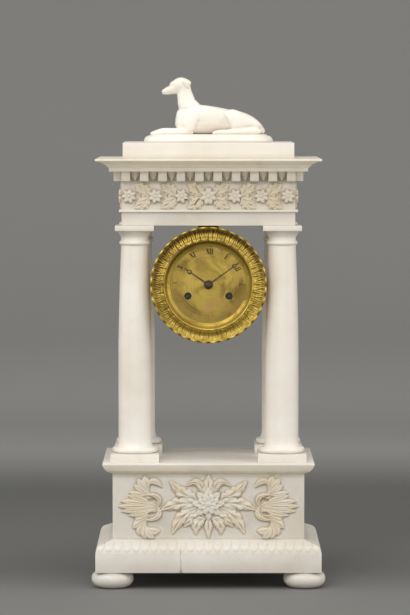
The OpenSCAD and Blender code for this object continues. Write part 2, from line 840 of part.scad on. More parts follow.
HOUND_TAIL = [[54, 0, 3, 2, 2], [51, 10, 2.4, 1.9, 1.9], [42, 18, 2, 1.8, 1.8], [30, 21, 1.7, 1.6, 1.6],
    [19, 20.5, 1.3, 1.1, 1.1]];
HOUND_EAR = [[-25, 5.2, 54.5, 1, 1.2], [-22, 6, 53.4, 1.4, 2.4],
    [-19.4, 6.2, 50.6, 1.3, 2.3], [-18.4, 5.8, 47.2, 0.6, 1]];

// A smooth curve through four rows of numbers, a share t of the way from p1 to p2
function smooth_at(p0, p1, p2, p3, t) =
    p1 + 0.5 * t * ((p2 - p0) + t * ((2 * p0 - 5 * p1 + 4 * p2 - p3) + t * (3 * (p1 - p2) + p3 - p0)));

function smooth_row(rows) = let (n = len(rows))
    concat([for (i = [0:n - 2], s = [0:FIGURE_STEPS - 1])
        smooth_at(rows[max(i - 1, 0)], rows[i], rows[i + 1], rows[min(i + 2, n - 1)], s / FIGURE_STEPS)],
        [rows[n - 1]]);

function place_of(row) = [row[0], row[1], row[2]];
function unit(v) = v / norm(v);

// One oval ring, square to the way that the limb runs
function oval_ring(rows, i) = let (n = len(rows),
    way = unit(place_of(rows[min(i + 1, n - 1)]) - place_of(rows[max(i - 1, 0)])),
    across = unit([0, 1, 0] - (way * [0, 1, 0]) * way), up = cross(way, across))
    [for (k = [0:FIGURE_SIDES - 1]) let (a = 360 * k / FIGURE_SIDES)
        place_of(rows[i]) + across * (rows[i][3] * cos(a)) + up * (rows[i][4] * sin(a))];

module limb(controls) {
    rows = smooth_row(controls);
    n = len(rows);
    s = FIGURE_SIDES;
    points = concat([for (i = [0:n - 1], p = oval_ring(rows, i)) p],
        [place_of(rows[0]), place_of(rows[n - 1])]);
    faces = concat(
        [for (i = [0:n - 2], k = [0:s - 1]) [i * s + k, (i + 1) * s + k, i * s + (k + 1) % s]],
        [for (i = [0:n - 2], k = [0:s - 1])
            [i * s + (k + 1) % s, (i + 1) * s + k, (i + 1) * s + (k + 1) % s]],
        [for (k = [0:s - 1]) [n * s, k, (k + 1) % s]],
        [for (k = [0:s - 1]) [n * s + 1, (n - 1) * s + (k + 1) % s, (n - 1) * s + k]]);
    polyhedron(points, faces);
}

module figure_base() {
    edge = figure_base_h * 0.55;
    end_r = figure_base_d / 2;
    half = figure_base_w / 2 - end_r;
    for (side = [-1, 1])
        translate([side * half, 0, figure_z])
            rotate_extrude()
                base_edge(end_r, edge);
    translate([0, 0, figure_z])
        rotate([90, 0, 90])
            linear_extrude(2 * half, center = true)
                union() {
                    base_edge(end_r, edge);
                    mirror([1, 0])
                        base_edge(end_r, edge);
                }
}

// Half the section of the base: a low foot and a rounded upper edge
module base_edge(half, edge) {
    polygon(concat([[0, 0], [half - 1, 0]],
        [for (a = [0:15:90]) [half - edge + edge * cos(a), figure_base_h - edge + edge * sin(a)]],
        [[0, figure_base_h]]));
}

module greyhound_figure() {
    color(ALABASTER) {
        figure_base();
        intersection() {
            translate([0, 0, figure_base_top - 0.4])
                union() {
                    limb(HOUND_BODY);
                    limb(HOUND_NECK);
                    limb(HOUND_HEAD);
                    limb(HOUND_TAIL);
                    for (side = [0, 1])
                        mirror([0, side, 0]) {
                            limb(HOUND_FORELEG);
                            limb(HOUND_SHOULDER);
                            limb(HOUND_THIGH);
                            limb(HOUND_HIND);
                            limb(HOUND_EAR);
                        }
                }
            box_between(-figure_base_w / 2, figure_base_w / 2, -figure_base_d / 2, figure_base_d / 2,
                figure_z + 1, figure_base_top + figure_base_w);
        }
    }
}

// Drum, bezel and dial

module drum_case() {
    color(BRASS)
        difference() {
            round_bar(CENTRE, drum_y, back_y, drum_d / 2);
            round_bar(CENTRE, drum_y - 1, back_y + 1, drum_d / 2 - drum_wall);
        }
}

module rear_ring() {
    color(BRASS)
        difference() {
            round_bar(CENTRE, back_y, back_y + rear_ring_t, drum_d / 2 + 1.2);
            round_bar(CENTRE, back_y - 1, back_y + rear_ring_t + 1, rear_ring_hole_r);
        }
}

module drum_hanger() {
    stud_top = frieze_z + rod_nut_h + rod_end;
    low = dial_z + drum_d / 2 - 5;
    color(BRASS) {
        difference() {
            box_between(-hanger_w / 2, hanger_w / 2, hanger_y - hanger_d / 2, hanger_y + hanger_d / 2,
                low, architrave_z);
            round_bar(CENTRE, drum_y, back_y, drum_d / 2 + fit);
        }
        for (side = [-1, 1])
            translate([side * hanger_x, hanger_y, architrave_z - 1])
                cylinder(h = stud_top - architrave_z + 1, r = stud_r);
    }
}

module hanger_nuts() {
    color(IRON)
        for (side = [-1, 1])
            translate([side * hanger_x, hanger_y, frieze_z])
                difference() {
                    cylinder(h = rod_nut_h, d = rod_nut_d, $fn = 6);
                    translate([0, 0, -1])
                        cylinder(h = rod_nut_h + 2, r = stud_r + fit);
                }
}

module bezel() {
    r = bezel_d / 2;
    inner = leaf_band_d / 2;
    seat = drum_y - dial_front_y;
    rim = bezel_depth - rim_back;
    color(GILT)
        at_dial(CENTRE, drum_y)
            rotate_extrude()
                polygon(concat([[dial_d / 2 + fit, 0], [r - 2, 0], [r, 1.6], [r, rim - 1], [r - 0.8, rim]],
                    [for (i = [0:8]) let(t = i / 8)
                        [between(r - rim_w, inner + ridge_w, t),
                            between(rim, bezel_depth, t) - leaf_hollow * sin(180 * t)]],
                    [[inner, bezel_depth],
                        [dial_seen_d / 2, seat + 1.2], [dial_seen_d / 2, seat], [dial_d / 2 + fit, seat]]));
}

module dial() {
    color(GILT) {
        difference() {
            round_bar(CENTRE, dial_front_y, dial_y, dial_d / 2);
            round_bar(CENTRE, dial_front_y - 1, dial_y + 1, hour_pipe_r + hole_margin);
            for (p = [GOING, STRIKE])
                round_bar(p, dial_front_y - 1, dial_y + 1, winding_hole_d / 2);
        }
        for (p = DIAL_FEET)
            round_bar(p, dial_y, plate_front_y, 1.2);
    }
}

// Hands and motion work

// A slim hand with a ring near its tip, along +Y
module ring_hand(l, ring_at, ring_r, bore_r, boss_r, stem_w) {
    low = stem_w / 2;
    high = stem_w * 0.3;
    neck = ring_at - ring_r + 0.4;
    difference() {
        union() {
            circle(r = boss_r);
            polygon([[-low, 0], [low, 0], [high, neck], [-high, neck]]);
            translate([0, ring_at])
                circle(r = ring_r);
            polygon([[-0.8, ring_at + ring_r - 0.5], [0.8, ring_at + ring_r - 0.5], [0.15, l], [-0.15, l]]);
        }
        circle(r = bore_r);
        translate([0, ring_at + ring_r * 0.18])
            circle(r = ring_r * 0.52);
    }
}

module hour_hand() {
    color(BLUED)
        slice(CENTRE, hour_hand_y - hand_t, hour_hand_y)
            rotate(-hour_angle)
                ring_hand(hour_hand_l, hour_hand_l - hand_tip, 2.3, hour_pipe_r, hour_pipe_r + 1.3, 1.7);
}

module minute_hand() {
    color(BLUED)
        slice(CENTRE, minute_hand_y - hand_t, minute_hand_y)
            rotate(-minute_angle)
                ring_hand(minute_hand_l, minute_hand_l - hand_tip, 2, cannon_r, cannon_r + 1.1, 1.3);
}

module hand_nut() {
    r = 3.6;
    front = minute_hand_y - hand_t;
    color(BLUED)
        difference() {
            at_dial(CENTRE, front - 1.6)
                sphere(r = r);
            round_bar(CENTRE, front, front + 10, r + 1);
            round_bar(CENTRE, front - 2.4, front + 1, centre_r - 0.4 + fit);
        }
}

module cannon_pinion() {
    color(BRASS)
        difference() {
            union() {
                slice(CENTRE, cannon_y - 2.1, cannon_y)
                    polygon(tooth_ring(cannon_n, motion_m, 0));
                round_bar(CENTRE, minute_hand_y - hand_t, cannon_y, cannon_r);
            }
            round_bar(CENTRE, minute_hand_y - 5, cannon_y + 1, centre_r + fit);
        }
}

module minute_wheel() {
    color(BRASS)
        difference() {
            union() {
                slice(MINUTE_STUD, minute_wheel_y - 1.4, minute_wheel_y)
                    toothed_wheel(minute_n, motion_m, minute_wheel_phase, 3.4);
                slice(MINUTE_STUD, minute_pinion_y - 2.8, minute_pinion_y)
                    polygon(tooth_ring(minute_pinion_n, hour_m, 0));
            }
            round_bar(MINUTE_STUD, plate_front_y - 6, plate_front_y, 1 + fit);
        }
}

module hour_wheel() {
    color(BRASS)
        difference() {
            union() {
                slice(CENTRE, hour_wheel_y - 1.4, hour_wheel_y)
                    toothed_wheel(hour_n, hour_m, hour_wheel_phase, 4.6);
                round_bar(CENTRE, hour_hand_y - hand_t, hour_wheel_y, hour_pipe_r);
            }
            round_bar(CENTRE, hour_hand_y - 5, hour_wheel_y + 1, cannon_r + fit);
        }
}

// Plates

HEAVY_PIVOTS = [BETWEEN, STRIKE_SECOND, HAMMER];
FINE_PIVOTS = [THIRD, ESCAPE, PIN_WHEEL, FLY];

module plate(y0, centre_hole_r, pallet_hole_r) {
    difference() {
        round_bar(CENTRE, y0, y0 + plate_t, plate_d / 2);
        for (p = HEAVY_PIVOTS)
            round_bar(p, y0 - 1, y0 + plate_t + 1, pivot_r + pivot_clear);
        for (p = FINE_PIVOTS)
            round_bar(p, y0 - 1, y0 + plate_t + 1, fine_pivot_r + pivot_clear);
        for (p = [GOING, STRIKE])
            round_bar(p, y0 - 1, y0 + plate_t + 1, winding_r + pivot_clear);
        round_bar(CENTRE, y0 - 1, y0 + plate_t + 1, centre_hole_r);
        round_bar(PALLET, y0 - 1, y0 + plate_t + 1, pallet_hole_r);
    }
}

module front_plate() {
    color(BRASS) {
        plate(plate_front_y, centre_r + pivot_clear, pivot_r + pivot_clear);
        round_bar(MINUTE_STUD, plate_front_y - motion_gap + 1.2, plate_front_y, 1);
    }
}

module back_plate() {
    color(BRASS)
        plate(back_plate_y, pivot_r + pivot_clear, arbor_r + hole_margin);
}

module plate_pillars() {
    color(BRASS)
        for (p = PILLARS)
            at_dial(p, back_plate_y)
                rotate_extrude()
                    polygon([[0, 0], [2.6, 0], [2.6, 2], [1.9, 4], [1.9, plate_gap - 4], [2.6, plate_gap - 2],
                        [2.6, plate_gap], [0, plate_gap]]);
}

// Barrels

spring_coils = 6;
core_r = winding_r + 2.2;

module barrel(place, m) {
    body_r = barrel_n * m / 2 - 1.6;
    color(BRASS)
        difference() {
            union() {
                round_bar(place, train_y + barrel_0, train_y + barrel_1, body_r);
                slice(place, train_y + barrel_rim, train_y + barrel_1)
                    polygon(tooth_ring(barrel_n, m, 0));
            }
            round_bar(place, train_y + barrel_0 + barrel_cap, train_y + barrel_1 - barrel_cap, body_r - 1.2);
            round_bar(place, train_y, train_y + plate_gap, winding_r + fit);
        }
}

// A wound spring: a flat ribbon that spirals from the core to the barrel's wall
module mainspring(place, m) {
    r0 = core_r + 0.8;
    r1 = barrel_n * m / 2 - 3.6;
    t = 0.6;
    turns = spring_coils * 360;
    step = 20;
    color(STEEL)
        slice(place, train_y + barrel_0 + barrel_cap + 0.6, train_y + barrel_1 - barrel_cap - 0.6)
            polygon(concat(
                [for (a = [0:step:turns]) (r0 + (r1 - r0) * a / turns) * [cos(a), sin(a)]],
                [for (a = [turns:-step:0]) (r0 + t + (r1 - r0) * a / turns) * [cos(a), sin(a)]]));
}

// A winding arbor with its spring core and its square for the key
module winding_arbor(place) {
    square_l = 5;
    square_w = winding_r * 1.3;
    tip_y = dial_front_y - 0.6;
    color(STEEL) {
        round_bar(place, tip_y + square_l, back_y, winding_r);
        round_bar(place, train_y + barrel_0 + barrel_cap + 0.4,
            train_y + barrel_1 - barrel_cap - 0.4, core_r);
        slice(place, tip_y, tip_y + square_l)
            square(square_w, center = true);
    }
}

// Going train

module intermediate_wheel() {
    color(BRASS) {
        heavy_arbor(BETWEEN);
        pinion_on(BETWEEN, barrel_rim, barrel_pinion_n, barrel_m, between_pinion_phase,
            barrel_1 - barrel_rim);
        wheel_on(BETWEEN, between_wheel_at, between_n, between_m, 0);
    }
}

module centre_wheel() {
    tip = minute_hand_y - hand_t - 2;
    color(BRASS) {
        round_bar(CENTRE, train_y + seat_gap, back_plate_y - seat_gap, arbor_r);
        round_bar(CENTRE, back_plate_y - seat_gap, back_y, pivot_r);
        round_bar(CENTRE, minute_hand_y - hand_t, train_y + seat_gap, centre_r);
        round_bar(CENTRE, tip, minute_hand_y - hand_t, centre_r - 0.4);
        pinion_on(CENTRE, between_wheel_at, centre_pinion_n, between_m, centre_pinion_phase);
        wheel_on(CENTRE, centre_wheel_at, centre_n, centre_m, 0);
    }
}

module third_wheel() {
    color(BRASS) {
        fine_arbor(THIRD);
        pinion_on(THIRD, centre_wheel_at, third_pinion_n, centre_m, third_pinion_phase);
        wheel_on(THIRD, third_wheel_at, third_n, third_m, 0);
    }
}

escape_r = 9.2;

module escape_wheel() {
    color(BRASS) {
        fine_arbor(ESCAPE);
        pinion_on(ESCAPE, third_wheel_at, escape_pinion_n, third_m, escape_pinion_phase);
        slice(ESCAPE, train_y + escape_wheel_at, train_y + escape_wheel_at + 1)
            difference() {
                polygon([for (i = [0:escape_n - 1], c = [[0, -1.4], [0.4, 0], [0.5, 0], [0.62, -1.4]])
                    let (a = 360 * (i + c[0]) / escape_n) (escape_r + c[1]) * [cos(a), sin(a)]]);
                for (i = [0:4])
                    rotate(72 * i)
                        translate([4.6, 0])
                            circle(r = 1.9);
            }
    }
}

// Pallets and crutch on one arbor; the pallets stand clear of the turning teeth
pallet_clear = 1.2;
crutch_l = 24;

module pallet_arbor() {
    drop = between_of(ESCAPE, PALLET);
    pallet_x = (escape_r + pallet_clear + 0.7) * sin(48);
    pallet_drop = drop - (escape_r + pallet_clear + 0.7) * cos(48);
    arbor_end = cock_y - seat_gap;
    color(STEEL) {
        round_bar(PALLET, train_y + seat_gap, arbor_end, arbor_r);
        round_bar(PALLET, plate_front_y, train_y + seat_gap, pivot_r);
        round_bar(PALLET, arbor_end, cock_y + cock_t - seat_gap, pivot_r);
        slice(PALLET, train_y + escape_wheel_at - 0.4, train_y + escape_wheel_at + 1.4)
            for (side = [0, 1])
                mirror([side, 0]) {
                    circle(r = 2.6);
                    polygon([[0, 1.6], [pallet_x - 0.6, -pallet_drop + 1.6], [pallet_x + 0.6, -pallet_drop],
                        [pallet_x - 0.2, -pallet_drop - 0.5], [0, -1.8]]);
                }
        slice(PALLET, crutch_y, crutch_y + crutch_t) {
            circle(r = 2.2);
            translate([-0.8, -crutch_l])
                square([1.6, crutch_l]);
        }
        // The crutch ends in a fork that reaches back round the pendulum rod
        for (side = [-1, 1])
            translate([side * (rod_w / 2 + fit + 0.5) - 0.5, crutch_y, dial_z + PALLET[1] - crutch_l])
                cube([1, pendulum_y + 1.6 - crutch_y, 2.4]);
        translate([-rod_w / 2 - 1, crutch_y, dial_z + PALLET[1] - crutch_l])
            cube([rod_w + 2, crutch_t, 2.4]);
    }
}

rod_w = 1.8;
loop_hole_r = 1.2;

// A bridge on the back plate: it holds the rear pivot and the stud that the pendulum hangs on
module suspension_cock() {
    foot_w = 4;
    reach = 9.5;
    low = -4;
    h = 5.6;
    color(BRASS)
        difference() {
            union() {
                for (side = [-1, 1])
                    slice(PALLET, back_y, cock_y)
                        translate([side * reach - foot_w / 2, low])
                            square([foot_w, h]);
                slice(PALLET, cock_y, cock_y + cock_t)
                    translate([-reach - foot_w / 2, low])
                        square([2 * reach + foot_w, h]);
                round_bar(PALLET, cock_y + cock_t, pendulum_y + 2, loop_hole_r);
            }
            round_bar(PALLET, cock_y - 1, cock_y + cock_t, pivot_r + pivot_clear);
        }
}

// The thread loop, the rod and the bob
module pendulum() {
    loop_r = loop_hole_r + fit + 0.8;
    thread_t = 1;
    color(BRASS) {
        slice(PALLET, pendulum_y - thread_t / 2, pendulum_y + thread_t / 2)
            difference() {
                union() {
                    circle(r = loop_r);
                    translate([-rod_w / 2, -pendulum_l])
                        square([rod_w, pendulum_l - loop_hole_r - fit - 0.3]);
                }
                circle(r = loop_hole_r + fit);
            }
        at_dial(PALLET + [0, -pendulum_l], pendulum_y)
            rotate_extrude()
                polygon([[0, -2.6], [bob_r * 0.5, -2.1], [bob_r, -0.5],
                    [bob_r, 0.5], [bob_r * 0.5, 2.1], [0, 2.6]]);
    }
}

// Striking train

module strike_second_wheel() {
    color(BRASS) {
        heavy_arbor(STRIKE_SECOND, 2.6);
        pinion_on(STRIKE_SECOND, barrel_rim, barrel_pinion_n, strike_m, second_pinion_phase,
            barrel_1 - barrel_rim);
        wheel_on(STRIKE_SECOND, second_wheel_at, second_n, second_m, 0);
    }
}

count_r = 12;
blows = 90;

// Number of teeth passed before the notch of each hour
function blows_before(hour) = hour == 0 ? 0 : blows_before(hour - 1) + hour + 1;

module count_wheel() {
    color(BRASS)
        slice(STRIKE_SECOND, count_wheel_y, count_wheel_y + 1.2)
            difference() {
                circle(r = count_r);
                circle(r = pivot_r + fit);
                for (hour = [1:12])
                    rotate(360 * blows_before(hour) / blows)
                        translate([count_r - 1.8, -0.4])
                            square([3, 0.8]);
            }
}

module pin_wheel() {
    pin_at = pin_n * pin_m / 2 - 2.2;
    color(BRASS) {
        fine_arbor(PIN_WHEEL);
        pinion_on(PIN_WHEEL, second_wheel_at, pin_pinion_n, second_m, pin_pinion_phase);
        difference() {
            slice(PIN_WHEEL, train_y + pin_wheel_at, train_y + pin_wheel_at + wheel_t)
                polygon(tooth_ring(pin_n, pin_m, 0));
            for (i = [0:pins_n - 1])
                round_bar(PIN_WHEEL + 3.4 * [cos(45 * i), sin(45 * i)],
                    train_y + pin_wheel_at - 1, train_y + pin_wheel_at + wheel_t + 1, 0.8);
        }
        for (i = [0:pins_n - 1])
            round_bar(PIN_WHEEL + pin_at * [cos(45 * i), sin(45 * i)],
                train_y + pin_wheel_at, train_y + pin_wheel_at + wheel_t + 2, 0.4);
    }
}

module fly() {
    vane_r = 5;
    color(BRASS) {
        fine_arbor(FLY);
        pinion_on(FLY, pin_wheel_at, fly_pinion_n, pin_m, fly_pinion_phase);
        slice(FLY, train_y + 12.5, train_y + 21)
            square([2 * vane_r, 0.7], center = true);
    }
}

// The hammer hangs beside the bell; its tail reaches to the pins of the pin wheel
hammer_head_r = 3;
hammer_rest = 1.2;

module hammer() {
    head = [BELL[0] - bell_r - hammer_rest - hammer_head_r, BELL[1]];
    head_y = bell_y + 3;
    arm = head - HAMMER;
    tail = PIN_WHEEL - HAMMER;
    tail_l = norm(tail) - (pin_n * pin_m / 2 - 2.2) - 1.4;
    color(STEEL) {
        heavy_arbor(HAMMER, head_y - back_y + 1);
        slice(HAMMER, train_y + pin_wheel_at + wheel_t + 1, train_y + pin_wheel_at + wheel_t + 2)
            rotate(bearing_of([0, 0], tail)) {
                translate([0, -0.7])
                    square([tail_l, 1.4]);
                circle(r = 2);
            }
        slice(HAMMER, head_y - 0.8, head_y + 0.8)
            rotate(bearing_of([0, 0], arm)) {
                circle(r = 2.2);
                translate([0, -0.9])
                    square([norm(arm), 1.8]);
            }
        round_bar(head, head_y - 3, head_y + 3, hammer_head_r);
    }
}

module bell() {
    crown_r = 5;
    curve = [for (a = [0:10:80]) [cos(a), sin(a)]];
    inner_r = bell_r - bell_wall;
    inner_h = bell_h - bell_wall;
    color(GILT)
        at_dial(BELL, bell_y)
            rotate_extrude()
                polygon(concat(
                    [for (c = curve) [crown_r + (bell_r - crown_r) * c[0], -bell_h * c[1] / sin(80)]],
                    [[2, -bell_h], [2, -inner_h]],
                    [for (i = [8:-1:0]) [crown_r + (inner_r - crown_r) * curve[i][0],
                        -inner_h * curve[i][1] / sin(80)]]));
}

// A post on the back plate and an arm behind the bell, with the screw that holds the bell
module bell_stand() {
    arm_y = bell_y + bell_h;
    arm_t = 2;
    color(STEEL) {
        round_bar(BELL_POST, back_y, back_y + 2, 3.8);
        round_bar(BELL_POST, back_y, arm_y + arm_t, 2);
        slice(BELL_POST, arm_y, arm_y + arm_t)
            rotate(bearing_of(BELL_POST, BELL)) {
                translate([0, -2.5])
                    square([between_of(BELL_POST, BELL), 5]);
                translate([between_of(BELL_POST, BELL), 0])
                    circle(r = 4);
            }
        round_bar(BELL, arm_y - bell_wall - 2, arm_y, 2 - fit);
        round_bar(BELL, arm_y - bell_wall - 2, arm_y - bell_wall, 3.4);
    }
}

foot(CORNERS[0]);  // foot_front_left
foot(CORNERS[1]);  // foot_front_right
foot(CORNERS[2]);  // foot_rear_left
foot(CORNERS[3]);  // foot_rear_right
plinth();
die();
die_carving();
cap_slab();
column_plinths();
column(CORNERS[0]);  // column_front_left
column(CORNERS[1]);  // column_front_right
column(CORNERS[2]);  // column_rear_left
column(CORNERS[3]);  // column_rear_right
column_abaci();
architrave();
frieze();
frieze_garland_front();
frieze_garland_sides();
dentil_course();
cornice();
attic_block();
greyhound_figure();
tie_rods();
tie_rod_nuts();
case_dowels();
drum_case();
drum_hanger();
hanger_nuts();
rear_ring();
bezel();
dial();
hour_hand();
minute_hand();
hand_nut();
cannon_pinion();
minute_wheel();
hour_wheel();
front_plate();
back_plate();
plate_pillars();
barrel(GOING, barrel_m);  // going_barrel
mainspring(GOING, barrel_m);  // going_mainspring
winding_arbor(GOING);  // going_arbor
intermediate_wheel();
centre_wheel();
third_wheel();
escape_wheel();
pallet_arbor();
suspension_cock();
pendulum();
barrel(STRIKE, strike_m);  // strike_barrel
mainspring(STRIKE, strike_m);  // strike_mainspring
winding_arbor(STRIKE);  // strike_arbor
strike_second_wheel();
count_wheel();
pin_wheel();
fly();
hammer();
bell();
bell_stand();
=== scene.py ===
"""Portico clock in alabaster with a gilt drum clock and a reclining greyhound, dressed on its CAD frame."""

import json
import math

import bmesh
import bpy
import numpy as np
from mathutils import Matrix, Vector


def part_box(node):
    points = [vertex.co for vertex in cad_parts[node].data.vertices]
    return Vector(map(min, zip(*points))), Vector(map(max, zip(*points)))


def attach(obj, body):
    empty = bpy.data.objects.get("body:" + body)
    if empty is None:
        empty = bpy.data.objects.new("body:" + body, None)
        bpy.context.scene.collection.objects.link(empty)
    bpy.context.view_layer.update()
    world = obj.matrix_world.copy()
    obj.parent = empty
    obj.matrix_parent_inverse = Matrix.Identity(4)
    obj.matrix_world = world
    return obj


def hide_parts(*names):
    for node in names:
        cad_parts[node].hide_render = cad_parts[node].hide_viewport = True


bl_info = {
    "name": "Portico Clock",
    "version": (1, 0, 0),
    "blender": (4, 5, 0),
    "location": "View3D > Sidebar > Portico Clock",
    "description": "Carved stone, gilt metal and stage of an alabaster portico clock",
    "category": "Object",
}

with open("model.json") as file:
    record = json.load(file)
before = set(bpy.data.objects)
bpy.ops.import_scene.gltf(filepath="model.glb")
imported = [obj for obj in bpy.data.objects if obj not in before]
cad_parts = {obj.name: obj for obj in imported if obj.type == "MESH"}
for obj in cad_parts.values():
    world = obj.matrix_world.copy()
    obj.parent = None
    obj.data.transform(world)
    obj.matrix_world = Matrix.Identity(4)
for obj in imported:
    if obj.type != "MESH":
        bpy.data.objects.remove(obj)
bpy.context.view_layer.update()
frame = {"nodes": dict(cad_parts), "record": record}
MM = 0.001


def box_mm(node):
    """Lowest and highest corner of a CAD node in millimetres."""
    low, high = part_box(node)
    return low / MM, high / MM


# Sizes that the frame gives, in millimetres

PLINTH_LOW, PLINTH_HIGH = box_mm("plinth")
DIE_LOW, DIE_HIGH = box_mm("die")
CAP_LOW, CAP_HIGH = box_mm("cap_slab")
ARCHITRAVE_LOW, ARCHITRAVE_HIGH = box_mm("architrave")
FRIEZE_LOW, FRIEZE_HIGH = box_mm("frieze")
DENTIL_LOW, DENTIL_HIGH = box_mm("dentil_course")
CORNICE_LOW, CORNICE_HIGH = box_mm("cornice")
ATTIC_LOW, ATTIC_HIGH = box_mm("attic_block")
FIGURE_LOW, FIGURE_HIGH = box_mm("greyhound_figure")
BEZEL_LOW, BEZEL_HIGH = box_mm("bezel")
DIAL_Z = (BEZEL_LOW.z + BEZEL_HIGH.z) / 2
DIAL_FACE = box_mm("dial")[0].y
PLINTH_FACE_H = 18.4
# The top stones lie a little lower than in the frame
TOP_DROP = 1.3
for corner in (ATTIC_LOW, ATTIC_HIGH, FIGURE_LOW, FIGURE_HIGH):
    corner.z -= TOP_DROP
# The rear columns stand a little closer together than the front ones
REAR_INSET = 2.0
CORNERS = {
    "front_left": (-1, -1),
    "front_right": (1, -1),
    "rear_left": (-1, 1),
    "rear_right": (1, 1),
}


# Settings


def colour(name, description, default):
    """A colour that a user may change."""
    return bpy.props.FloatVectorProperty(
        name=name, description=description, subtype="COLOR", size=3, min=0, max=1, default=default
    )


def length(name, description, millimetres):
    """A length that a user may change, given in millimetres."""
    return bpy.props.FloatProperty(
        name=name, description=description, unit="LENGTH", min=0, default=millimetres * MM, precision=5
    )


class StoneSettings(bpy.types.PropertyGroup):
    """Looks of the alabaster."""

    light: colour("Light stone", "Alabaster where it is palest", (0.75, 0.705, 0.635))
    cloud: colour("Clouded stone", "Alabaster in its warmer clouds", (0.69, 0.63, 0.54))
    # Painted light: this colour is laid on faces that look down, such as the cornice's and the cap's
    # undersides, to lighten them
    glow: colour("Glow", "Thin undersides that let light through", (0.97, 0.88, 0.72))
    # Grime colour: real dirt, and also the painted shade in carved hollows, under mouldings, in the
    # dentils' gaps and in the deepest slits
    grime: colour("Grime", "Old dirt in hollows and under mouldings", (0.26, 0.18, 0.085))
    carved: colour("Carved stone", "Yellowed tone of the carving", (0.63, 0.535, 0.365))
    arris: length("Arris", "Rounding of the stone's edges", 0.45)


class MetalSettings(bpy.types.PropertyGroup):
    """Looks of the metals."""

    gilt: colour("Gilt", "Gilding of bezel and dial", (0.67, 0.49, 0.105))
    patina: colour("Patina", "Brown patina in the gilding's hollows", (0.14, 0.085, 0.02))
    brass: colour("Brass", "Lacquered brass of the movement", (0.62, 0.45, 0.17))
    steel: colour("Steel", "Bright steel of arbors and springs", (0.42, 0.42, 0.43))
    blued: colour("Blued steel", "Hands and their nut", (0.045, 0.031, 0.013))


class CarvingSettings(bpy.types.PropertyGroup):
    """Sizes of the carving."""

    die_relief: length("Die relief", "Height of the leaf carving on the die", 4.6)
    garland_relief: length("Garland relief", "Height of the frieze garland", 3.0)
    leaf_pitch: length("Leaf pitch", "Distance between the leaves round the plinth", 9.0)
    bezel_leaves: bpy.props.IntProperty(
        name="Bezel leaves", description="Number of cast leaves round the bezel", min=12, max=72, default=36
    )


class StageSettings(bpy.types.PropertyGroup):
    """Floor, light and camera."""

    floor: colour("Floor", "Plain pale floor", (0.147, 0.146, 0.138))
    backdrop: colour("Backdrop", "Plain backdrop behind the floor", (0.32, 0.316, 0.302))
    camera_back: length("Camera distance", "Distance of the camera in front of the clock", 3380)
    camera_height: length("Camera height", "Height of the camera above the floor", 482)
    camera_aside: length("Camera aside", "How far the camera stands left of the middle", 3.4)
    camera_pitch: bpy.props.FloatProperty(
        name="Camera pitch",
        description="How far the camera looks down",
        subtype="ANGLE",
        default=math.radians(3.557),
    )
    lens: bpy.props.FloatProperty(
        name="Lens", description="Focal length on a 36 mm sensor", unit="CAMERA", default=198.1
    )


def settings(kind):
    """One of the scene's property groups by its short name."""
    return getattr(bpy.context.scene, "portico_clock_" + kind)


# Mesh helpers, all in millimetres


def add_ring(bm, count, place):
    """A closed ring of edges whose points are place(angle)."""
    made = bmesh.ops.create_circle(bm, cap_ends=False, radius=1, segments=count)["verts"]
    for i, v in enumerate(made):
        v.co = place(math.tau * i / count)
    return list({e for v in made for e in v.link_edges})


def loft(bm, rings):
    """Walls between rings of edges, with both ends closed."""
    for lower, upper in zip(rings, rings[1:]):
        bmesh.ops.bridge_loops(bm, edges=lower + upper)
    for end in (rings[0], rings[-1]):
        bmesh.ops.edgeloop_fill(bm, edges=end)


def add_block(bm, half_x, half_y, steps, centre=(0, 0)):
    """A rectangular block from its stand-out and height at each step of its moulding."""
    rings = []
    for out, z in steps:
        reach_x = half_x + out
        reach_y = half_y + out
        corners = [(-reach_x, -reach_y), (reach_x, -reach_y), (reach_x, reach_y), (-reach_x, reach_y)]
        spots = iter([Vector((centre[0] + x, centre[1] + y, z)) for x, y in corners])
        rings.append(add_ring(bm, 4, lambda angle: next(spots)))
    loft(bm, rings)


def add_shaded_block(bm, half_x, half_y, low, high, reach, dirt):
    """A plain block with old dirt and painted shadow along its top edge, under a moulding."""
    hollow = bm.verts.layers.float.new("hollow")
    add_block(bm, half_x, half_y, [(0, low), (0, high - reach), (0, high - reach * 0.3), (0, high)])
    for v in bm.verts:
        v[hollow] = dirt * held((v.co.z - high + reach) / (reach * 0.7))


def soften(bm, offset, angle=35):
    """Rounds every edge sharper than the angle."""
    bmesh.ops.recalc_face_normals(bm, faces=bm.faces)
    sharp = [e for e in bm.edges if e.calc_face_angle(0) > math.radians(angle)]
    bmesh.ops.bevel(
        bm, geom=sharp, offset=offset, offset_type="OFFSET", segments=2, profile=0.5, affect="EDGES",
        material=-1, clamp_overlap=True,
    )


def add_spin(bm, profile, segments, place):
    """A turned shape from its profile of radius and height, moved to its place."""
    verts = [bm.verts.new((r, 0, z)) for r, z in profile]
    edges = [bm.edges.new(pair) for pair in zip(verts, verts[1:])]
    bmesh.ops.spin(
        bm, geom=verts + edges, cent=(0, 0, 0), axis=(0, 0, 1), dvec=(0, 0, 0), angle=math.tau,
        steps=segments, use_merge=True,
    )
    bmesh.ops.remove_doubles(bm, verts=bm.verts, dist=1e-3)
    bmesh.ops.transform(bm, matrix=Matrix.Translation(place), verts=bm.verts)
    bmesh.ops.recalc_face_normals(bm, faces=bm.faces)


def finish_piece(name, bm, material, replaces=(), sharp=38):
    """Turns a bmesh in millimetres into a piece of the clock's standing body."""
    bmesh.ops.scale(bm, vec=(MM, MM, MM), verts=bm.verts)
    for face in bm.faces:
        face.smooth = True
    for edge in bm.edges:
        edge.smooth = edge.calc_face_angle(0) < math.radians(sharp)
    mesh = bpy.data.meshes.new(name)
    bm.to_mesh(mesh)
    bm.free()
    mesh.materials.append(material_named(material))
    piece = bpy.data.objects.new(name, mesh)
    bpy.context.scene.collection.objects.link(piece)
    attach(piece, "root")
    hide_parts(*replaces)


